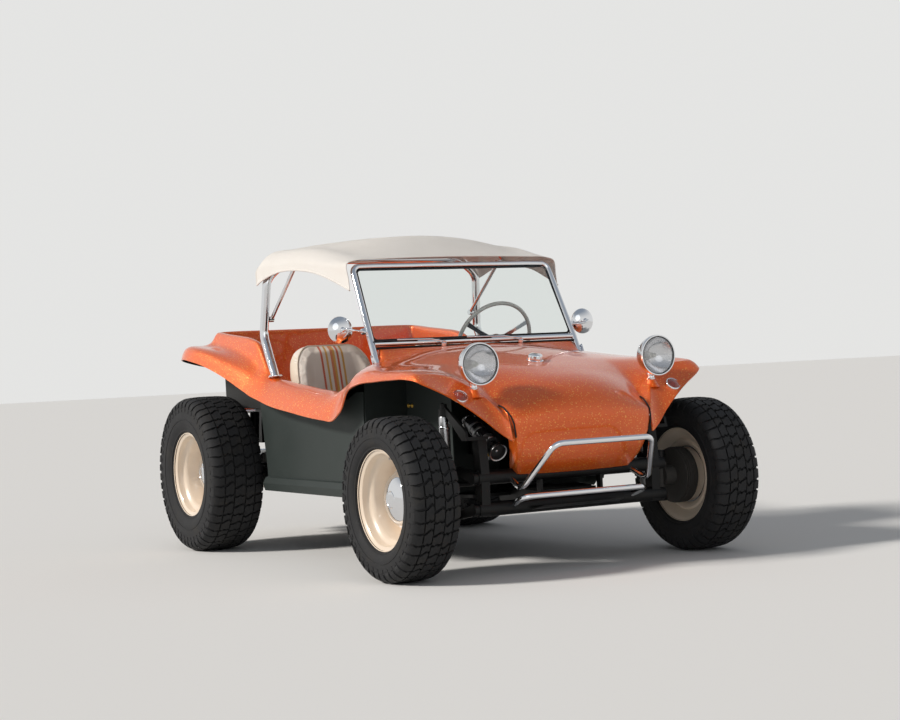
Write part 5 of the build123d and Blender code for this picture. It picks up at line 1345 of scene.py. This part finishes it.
def make_filler():
    """The fuel filler's cap: a rolled flange and a four-lobed grip."""
    seat = Vector((1.083, 0, 0.868))
    up = Vector((0.25, 0, 0.968)).normalized()
    flange = [(0, 0.044), (0.003, 0.0445), (0.006, 0.0425), (0.008, 0.033), (0.01, 0.03)]
    parts = [spun("flange", flange, seat, up, 56)]
    ahead = Vector((0.968, 0, -0.25)).normalized()
    aside = Vector((0, 1, 0))
    rings = []
    for lift, size in ((0.008, 0.98), (0.012, 1), (0.026, 1), (0.031, 0.94), (0.033, 0.8), (0.0335, 0.35)):
        ring = []
        for k in range(GRIP_STEPS):
            turn = math.tau * k / GRIP_STEPS
            reach = size * (GRIP_R + GRIP_LOBE * math.cos(4 * turn))
            ring.append(seat + up * lift + (ahead * math.cos(turn) + aside * math.sin(turn)) * reach)
        rings.append([*ring, ring[0]])
    parts.append(settle(netted("grip", rings)))
    parts.append(spun("top", [(0.033, 0.012), (0.035, 0.01), (0.035, 0)], seat, up, 40))
    finished(joined("fuel_cap", *parts), chrome, nodes=("filler_cap",), angle=40)


COWL_TOP = 0.9555
COWL_FROM = 0.598
COWL_REACH = 0.085
COWL_HALF = 0.53
COWL_END = 0.028
COWL_ROWS = 14
COWL_COLUMNS = 40
COWL_PROUD = 0.0006
COWL_SUNK = 0.0016


def eased(share):
    """A share from 0 to 1, level at both ends."""
    share = min(1, max(0, share))
    return share * share * (3 - 2 * share)


def make_cowl():
    """The raised lip of the moulding that meets the windshield's lower bar and runs out into the bonnet."""
    body = bpy.data.objects["body_moulding"]
    rows = []
    for k in range(COWL_ROWS + 1):
        x = COWL_FROM + COWL_REACH * k / COWL_ROWS
        row = []
        for c in range(-COWL_COLUMNS, COWL_COLUMNS + 1):
            y = COWL_HALF * c / COWL_COLUMNS
            spot = body.ray_cast(Vector((x, y, 1.2)), Vector((0, 0, -1)))[1]
            fade = eased((COWL_HALF - abs(y)) / COWL_END) * (1 - eased(k / COWL_ROWS))
            lift = max(0, COWL_TOP - spot.z) * fade
            sunk = COWL_SUNK if k == COWL_ROWS or abs(c) == COWL_COLUMNS else 0
            row.append(Vector((x, y, spot.z + lift + COWL_PROUD - sunk)))
        rows.append(row)
    finished(netted("cowl_lip", rows, turned=True), orange, angle=60)


def make_wipers():
    """Two parked wipers on the cowl, the rubber under the windshield's lower bar and the nose's welting."""
    parts = Kit()
    for pivot, elbow, first, last in (
        (-0.187, -0.3, -0.3, -0.525),
        (0.217, 0.06, 0.085, -0.195),
    ):
        base = Vector((0.622, pivot, 0.958))
        up = (0.3, 0, 0.95)
        middle = (first + last) / 2
        parts.put(chrome, drum("pivot", base, up, 0.012, 0.016, 0.002, 32))
        parts.put(chrome, drum("cap nut", base + Vector((0.004, 0, 0.015)), up, 0.007, 0.01, 0.002, 24))
        arm = [base + Vector((0.004, 0, 0.02)), (0.612, (pivot + elbow) / 2, 0.99), (0.604, middle, 0.993)]
        parts.put(chrome, bar("arm", arm, 0.0032, bend=0.02, sides=4))
        parts.put(
            black_plastic, block("blade back", (0.5985, last, 0.9885), (0.6045, first, 0.9945), 0.0015, 2)
        )
        parts.put(
            mat_rubber,
            block("blade", (0.5935, last + 0.004, 0.989), (0.599, first - 0.004, 0.9925), 0.0008, 1),
        )
    finished(joined("wipers", *parts), None, angle=40)
    seal = bar("cowl_seal", looped([(0.6035, -0.52, 0.9575)]), 0.006, sides=5)
    finished(seal, seal_rubber, angle=60)
    parts = Kit()
    for sign in (1, -1):
        welt = [(1.352, 0.3535, 0.698), (1.378, 0.35, 0.69), (1.404, 0.3475, 0.672), (1.43, 0.344, 0.65)]
        welt += [(1.442, 0.339, 0.62), (1.4445, 0.336, 0.59), (1.44, 0.331, 0.566)]
        parts.append(bar(
            "welt", [(x, sign * y, z) for x, y, z in welt], 0.0034, bend=0.03, steps=4, sides=4
        ))
    finished(joined("nose_welting", *parts), seal_rubber, angle=60)


make_tubes()
make_headlights()
make_signals()
make_mirrors()
make_windshield()
make_filler()
make_cowl()
make_wipers()


# Steering wheel, dampers, canister and the small things of the cabin and engine

WHEEL_HUB = Vector((0.27, 0.285, 0.97))
COLUMN_TILT = math.radians(25)
WHEEL_R = 0.195
WHEEL_DISH = 0.012


def make_steering_wheel():
    """A thin pale grey rim on three plated spokes with black studs, round a plain button."""
    deselect()
    bpy.ops.mesh.primitive_torus_add(
        major_radius=WHEEL_R, minor_radius=0.0095, major_segments=96, minor_segments=14, location=(0, 0, 0)
    )
    parts = Kit()
    parts.put(grey_grip, bpy.context.object)
    for k in range(3):
        turn = math.pi / 2 + k * math.tau / 3
        spoke = [(0.03, 0.015), (0.11, 0.0095), (WHEEL_R - 0.004, 0.0125)]
        outline = [(r, -h) for r, h in spoke] + [(r, h) for r, h in reversed(spoke)]
        places = []
        for r, h in outline:
            rise = WHEEL_DISH * (r / WHEEL_R - 1)
            x = r * math.cos(turn) - h * math.sin(turn)
            places.append((x, r * math.sin(turn) + h * math.cos(turn), rise))
        parts.put(chrome, plate("spoke", places, 0.0032, 0.0008, 1))
        for reach in (0.062, 0.092, 0.122, 0.15):
            rise = WHEEL_DISH * (reach / WHEEL_R - 1) + 0.0012
            spot = (reach * math.cos(turn), reach * math.sin(turn), rise)
            parts.put(black_plastic, drum("spoke rivet", spot, (0, 0, 1), 0.0042, 0.0016, 0.0004, 20))
    hub = [(-0.05, 0.02), (-0.022, 0.026), (-0.016, 0.04), (-0.008, 0.042), (-0.006, 0.034)]
    button = [(-0.007, 0.0335), (0, 0.031), (0.004, 0.023), (0.006, 0.012), (0.0065, 0)]
    parts.append(lathed("hub", (0, 0, 0), (0, 0, 1), [(chrome, hub), (black_plastic, button)], 48))
    wheel = joined("hand_wheel", *parts)
    back = Vector((-math.cos(COLUMN_TILT), 0, math.sin(COLUMN_TILT)))
    aside = Vector((0, 1, 0))
    turn = Matrix((aside, back.cross(aside), back)).transposed()
    wheel.data.transform(Matrix.Translation(WHEEL_HUB) @ turn.to_4x4())
    finished(wheel, None, "steering_wheel", ("steering_wheel",), 35)


def make_dampers():
    """Covers with a band over the front dampers, and a pleated boot below each."""
    parts = []
    for side in (1, -1):
        foot = Vector((1.145, side * 0.497, 0.236))
        sleeve = [
            (0.24, 0), (0.24, 0.0215), (0.243, 0.0232), (0.42, 0.0232), (0.424, 0.0215), (0.43, 0.019),
        ]
        sleeve += [(0.436, 0.019), (0.438, 0.015), (0.448, 0.015), (0.45, 0)]
        lower = [(0.06, 0), (0.06, 0.015)]
        for k in range(11):
            fold = 0.064 + 0.0155 * k
            lower += [(fold, 0.015), (fold + 0.006, 0.0158), (fold + 0.0095, 0.0158)]
        lower.append((0.241, 0.015))
        layers = [
            (steel, sleeve), (grey_sleeve, lower), (chrome, band(0.372, 0.008, 0.0233, 0.0241, 0.002)),
        ]
        parts.append(lathed("front damper", foot, (0, 0, 1), layers, 40))
    finished(joined("damper_sleeves", *parts), None, angle=35)


def make_canister():
    """The black canister under the right fender: clamp rings, a wide band and an open bright mouth."""
    start = Vector((1.107, -0.36, 0.637))
    along = Vector((0.223, 0, -0.126)).normalized()
    parts = [
        (steel, [(0, 0), (0, 0.027), (0.003, 0.0315), (0.012, 0.0325), (0.015, 0.03)]),
        (black_gloss, [(0.015, 0.03), (0.02, 0.0312), (0.172, 0.0312), (0.176, 0.029)]),
        (steel, [(0.168, 0.029), (0.17, 0.0352), (0.198, 0.0352), (0.201, 0.031)]),
        (
            steel,
            [
                (0.2, 0.03), (0.204, 0.0325), (0.246, 0.0345), (0.268, 0.0395), (0.272, 0.039),
                (0.27, 0.0345),
            ],
        ),
        (black_plastic, [(0.268, 0.0345), (0.258, 0.032), (0.252, 0.03), (0.252, 0)]),
        (steel, [(0.252, 0.006), (0.257, 0.0055), (0.258, 0)]),
    ]
    for spot in (0.066, 0.104):
        parts.append((steel, band(spot, 0.012, 0.031, 0.0338)))
    canister = lathed("canister", start, along, parts, 56)
    tangs = Kit()
    for spot in (0.072, 0.11, 0.184):
        place = start + along * spot + Vector((0, -0.034, -0.004))
        tangs.put(steel, drum("clamp screw", place, (0, 0, 1), 0.0042, 0.018, 0.001, 16))
    fitting = start + along * 0.205 + Vector((-0.01, -0.012, -0.034))
    down = (0.2, 0, -1)
    tangs.put(brass, drum("fitting", fitting, down, 0.0115, 0.016, 0.0015, 6))
    tangs.put(
        steel, drum("fitting end", fitting + Vector((0.003, 0, -0.015)), down, 0.0075, 0.014, 0.001, 24)
    )
    finished(joined("canister_body", canister, *tangs), None, nodes=("horn",), angle=35)


PEDAL_LEAN = Matrix.Rotation(math.radians(-28), 4, "Y")


def make_cabin():
    """Dials and knobs on the dashboard, pedals, and the two grommets on each inner wing."""
    parts = Kit()
    back = (-1, 0, 0)
    for y, z, r in ((0.172, 0.868, 0.028), (0.285, 0.902, 0.03), (0.398, 0.868, 0.028), (0, 0.866, 0.036)):
        bezel = [(0, r), (0.004, r + 0.001), (0.007, r - 0.001), (0.006, r - 0.004), (0.002, r - 0.004)]
        dial = [(0.002, r - 0.004), (0.002, 0)]
        parts.append(lathed("dial", (0.546, y, z), back, [(chrome, bezel), (black_plastic, dial)], 48))
        needle = block("needle", (0.5415, y - 0.0008, z - 0.003), (0.5432, y + 0.0008, z + 0.55 * r), 0)
        parts.put(amber_lens, needle)
    for y in (-0.12, -0.18, -0.24):
        knob = [(0, 0.005), (0.01, 0.005), (0.012, 0.01), (0.02, 0.011), (0.023, 0.008), (0.023, 0)]
        parts.append(lathed("knob", (0.546, y, 0.86), back, [(black_plastic, knob)], 28))
    finished(joined("dashboard_fittings", *parts), None, angle=35)

    parts = Kit()
    for y, half in ((0.15, 0.026), (0.225, 0.026), (0.33, 0.02)):
        stalk = [(0.8, y, 0.318), (0.785, y, 0.42), (0.745, y, 0.478)]
        parts.put(black_paint, bar("pedal stalk", stalk, 0.0065, bend=0.04, sides=5))
        pads = [block("pedal pad", (-0.006, -half, -0.03), (0.006, half, 0.03), 0.003, 2)]
        for k in range(4):
            foot = -0.024 + 0.0135 * k
            pads.append(block(
                "pad rib", (-0.0085, -half + 0.004, foot), (-0.005, half - 0.004, foot + 0.006), 0
            ))
        for pad in pads:
            pad.data.transform(Matrix.Translation((0.74, y, 0.484)) @ PEDAL_LEAN)
            parts.put(mat_rubber, pad)
    finished(joined("pedals", *parts), None, angle=35)

    parts = Kit()
    for x in (0.662, 0.694):
        ring = [(0, 0.0035), (0.003, 0.004), (0.0045, 0.0065), (0.003, 0.009), (0, 0.0095)]
        parts.append(lathed("grommet", (x, 0.4, 0.7), (0, 1, 0), [(brass, ring)], 32))
    finished(both_sides(joined("wing_grommets", *parts)), None, angle=50)


def make_generator():
    """The generator on its stand, the grooved pulleys on the crank and on its shaft, and the oil filler."""
    can = [(0, 0), (0, 0.046), (0.004, 0.05), (0.184, 0.05), (0.19, 0.043), (0.19, 0.015), (0.24, 0.014)]
    parts = [(black_gloss, can)]
    for spot in (0.034, 0.15):
        parts.append((steel, band(spot, 0.014, 0.0498, 0.0522)))
    made = Kit([lathed("generator", (-1.1585, -0.07, 0.66), (-1, 0, 0), parts, 48)])
    for y, z, r in ((0, 0.4, 0.086), (-0.07, 0.66, 0.056)):
        groove = [(0, 0.012), (0, r), (0.002, r + 0.003), (0.005, r - 0.003), (0.0095, r - 0.013)]
        groove += [
            (0.0125, r - 0.013), (0.017, r - 0.003), (0.02, r + 0.003), (0.022, r), (0.021, r - 0.01),
        ]
        groove += [(0.014, r - 0.016), (0.014, 0.026), (0.02, 0.022), (0.022, 0.013)]
        nut = [(0.018, 0.014), (0.0225, 0.0125), (0.0225, 0)]
        made.append(lathed("pulley", (-1.392, y, z), (-1, 0, 0), [(alloy, groove), (steel, nut)], 56))
    stand = [(-0.052, 0.5003), (-0.046, 0.56), (-0.03, 0.61), (-0.03, 0.632)]
    outline = [(-1.25, -0.04 + y, z) for y, z in stand] + [
        (-1.25, -0.04 - y, z) for y, z in reversed(stand)
    ]
    made.put(alloy, plate("stand", outline, 0.084, 0.006, 2))
    neck = [(-1.205, -0.052, 0.52), (-1.172, -0.15, 0.532), (-1.172, -0.25, 0.56)]
    made.put(alloy, bar("filler neck", neck, 0.015, bend=0.04, sides=6))
    finished(joined("generator_set", *made), None, nodes=("generator_and_pulleys",), angle=38)


CLEANER = (-1.245, 0.09)
BELT_STEPS = 16


def make_engine_trim():
    """Fan belt, distributor, coil, shroud screws, the air cleaner's lid and a fuel pipe."""
    crank = (0, 0.4, 0.0815)
    dynamo = (-0.07, 0.66, 0.0515)
    upright = (0.1, 0.25, 0.96)
    lean = math.atan2(dynamo[1] - crank[1], dynamo[0] - crank[0])
    apart = math.hypot(dynamo[1] - crank[1], dynamo[0] - crank[0])
    open_by = math.acos((crank[2] - dynamo[2]) / apart)
    loop = []
    for (y, z, r), first, last in (
        (crank, lean + open_by, lean + math.tau - open_by),
        (dynamo, lean - open_by, lean + open_by),
    ):
        for k in range(BELT_STEPS + 1):
            turn = first + (last - first) * k / BELT_STEPS
            loop.append((-1.403, y + r * math.cos(turn), z + r * math.sin(turn)))
    loop.append(loop[0])
    parts = Kit()
    parts.put(mat_rubber, bar("belt", loop, 0.0062, bend=0.004, steps=1, sides=3))
    stand = (-1.262, 0.075, 0.5)
    cap = [(0.06, 0), (0.06, 0.026), (0.064, 0.03), (0.085, 0.029), (0.092, 0.02), (0.094, 0)]
    drive = [(0, 0), (0, 0.016), (0.04, 0.016), (0.046, 0.027), (0.06, 0.027)]
    parts.append(lathed("distributor", stand, upright, [(alloy, drive), (black_plastic, cap)], 36))
    for k in range(5):
        turn = k * math.tau / 5
        aside = Vector((math.cos(turn), math.sin(turn), 0)) * 0.017
        spot = Vector(stand) + Vector((0.009, 0.022, 0.088)) + aside
        reach = 0.016 if k else 0.01
        parts.put(black_plastic, drum("tower", spot, upright, 0.0055, reach, 0.001, 16))
    coil = [
        (0, 0), (0, 0.025), (0.003, 0.027), (0.105, 0.027), (0.108, 0.024), (0.116, 0.016),
        (0.128, 0.012), (0.128, 0),
    ]
    parts.append(lathed("coil", (-1.19, -0.21, 0.62), (0, -0.35, 0.94), [(black_gloss, coil)], 36))
    for y in (-0.31, -0.16, 0.16, 0.31):
        for z in (0.525, 0.64):
            parts.put(steel, drum("shroud screw", (-1.158, y, z), (-1, 0, 0), 0.006, 0.0035, 0.001, 12))
    lid = [
        (-0.004, 0.0845), (-0.002, 0.0872), (0.004, 0.0872), (0.006, 0.084), (0.009, 0.062),
        (0.013, 0.058),
    ]
    lid += [(0.014, 0.02), (0.017, 0.018), (0.017, 0)]
    wing = [(0.016, 0), (0.016, 0.007), (0.028, 0.0045), (0.03, 0)]
    cleaner = [(black_gloss, lid), (steel, band(-0.058, 0.008, 0.0842, 0.0856)), (chrome, wing)]
    parts.append(lathed("air cleaner lid", (*CLEANER, 0.727), (0, 0, 1), cleaner, 56))
    pipe = [(-1.215, 0.12, 0.6), (-1.19, 0.2, 0.6), (-1.19, 0.24, 0.51), (-1.02, 0.24, 0.505)]
    parts.put(steel, bar("fuel pipe", pipe, 0.004, bend=0.03, sides=4))
    finished(joined("engine_trim", *parts), None, angle=35)


make_steering_wheel()
make_dampers()
make_canister()
make_cabin()
make_generator()
make_engine_trim()


# Materials of the CAD pieces that stay

CAD_FINISHES = [
    (alloy, "engine_block gearbox intake_and_air_cleaner"),
    (black_paint, "dampers drop_arm fan_shroud floor_pan front_beam_and_arms fuel_tank rear_axle"),
    (black_paint, "seat_pedestals steering_column_and_box track_rod"),
    (black_plastic, "dashboard levers"),
    (chrome, "rear_bumper top_struts"),
    (iron, "knuckle_left knuckle_right"),
    (pale_pipe, "exhaust"),
    (pane_glass, "windshield_glass"),
    (panel_paint, "inner_wings side_panels"),
]
for finish, names in CAD_FINISHES:
    for name in names.split():
        painted(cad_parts[name], finish)


# Camera, floor and light


BACKDROP = colour(0.78, 0.78, 0.77)
ZENITH = colour(0.26, 0.3, 0.36)
FADE = (0.22, 0.9)
SKY_LIGHT = colour(0.9, 0.94, 1)
SKY_STRENGTH = 0.28
SUN_LAMPS = [
    # name, direction it comes from, strength, angle across in degrees, colour
    ("key light", (-0.25, -1, 0.66), 3.1, 10, (1, 0.96, 0.91)),
    ("front fill", (1, -0.35, 0.45), 0.22, 40, (0.93, 0.96, 1)),
]


def set_stage():
    """A pale floor and backdrop, a broad key from the vehicle's right, and a weak fill from the front."""
    deselect()
    bpy.ops.mesh.primitive_plane_add(size=120, location=(0, 0, -0.0005))
    floor = bpy.context.object
    floor.name = "studio_floor"
    pale = Finish("pale floor", Roughness=1, Base_Color=colour(0.84, 0.83, 0.81), Specular_IOR_Level=0)
    floor.data.materials.append(pale.material)
    for name, source, strength, across, tint in SUN_LAMPS:
        lamp = bpy.data.lights.new(name, "SUN")
        lamp.energy = strength
        lamp.angle = math.radians(across)
        lamp.color = tint
        made = bpy.data.objects.new(name, lamp)
        bpy.context.scene.collection.objects.link(made)
        made.rotation_euler = Vector(source).to_track_quat("Z", "Y").to_euler()
    world = bpy.data.worlds.new("studio")
    bpy.context.scene.world = world
    world.use_nodes = True
    sky = Nodes(world.node_tree)
    light = sky.tree.nodes["Background"]
    light.inputs["Color"].default_value = SKY_LIGHT
    light.inputs["Strength"].default_value = SKY_STRENGTH
    height = sky.parts(sky.node("TexCoord", output="Generated"))[2]
    shade = sky.mix(sky.spread(height, *FADE, way="SMOOTHSTEP"), BACKDROP, ZENITH)
    backdrop = sky.node("Background", {}, {"Color": shade})
    seen = sky.node("LightPath", output="Is Camera Ray")
    rays = seen.socket.node.outputs
    for ray in ("Is Glossy Ray", "Is Transmission Ray"):
        seen = seen.maths("MAXIMUM", Number(sky, rays[ray]))
    both = sky.node("MixShader", {}, {0: seen, 1: Number(sky, light.outputs[0]), 2: backdrop})
    sky.feed(sky.tree.nodes["World Output"].inputs["Surface"], both)
    bpy.context.scene.view_settings.view_transform = "Standard"


set_camera()
set_stage()
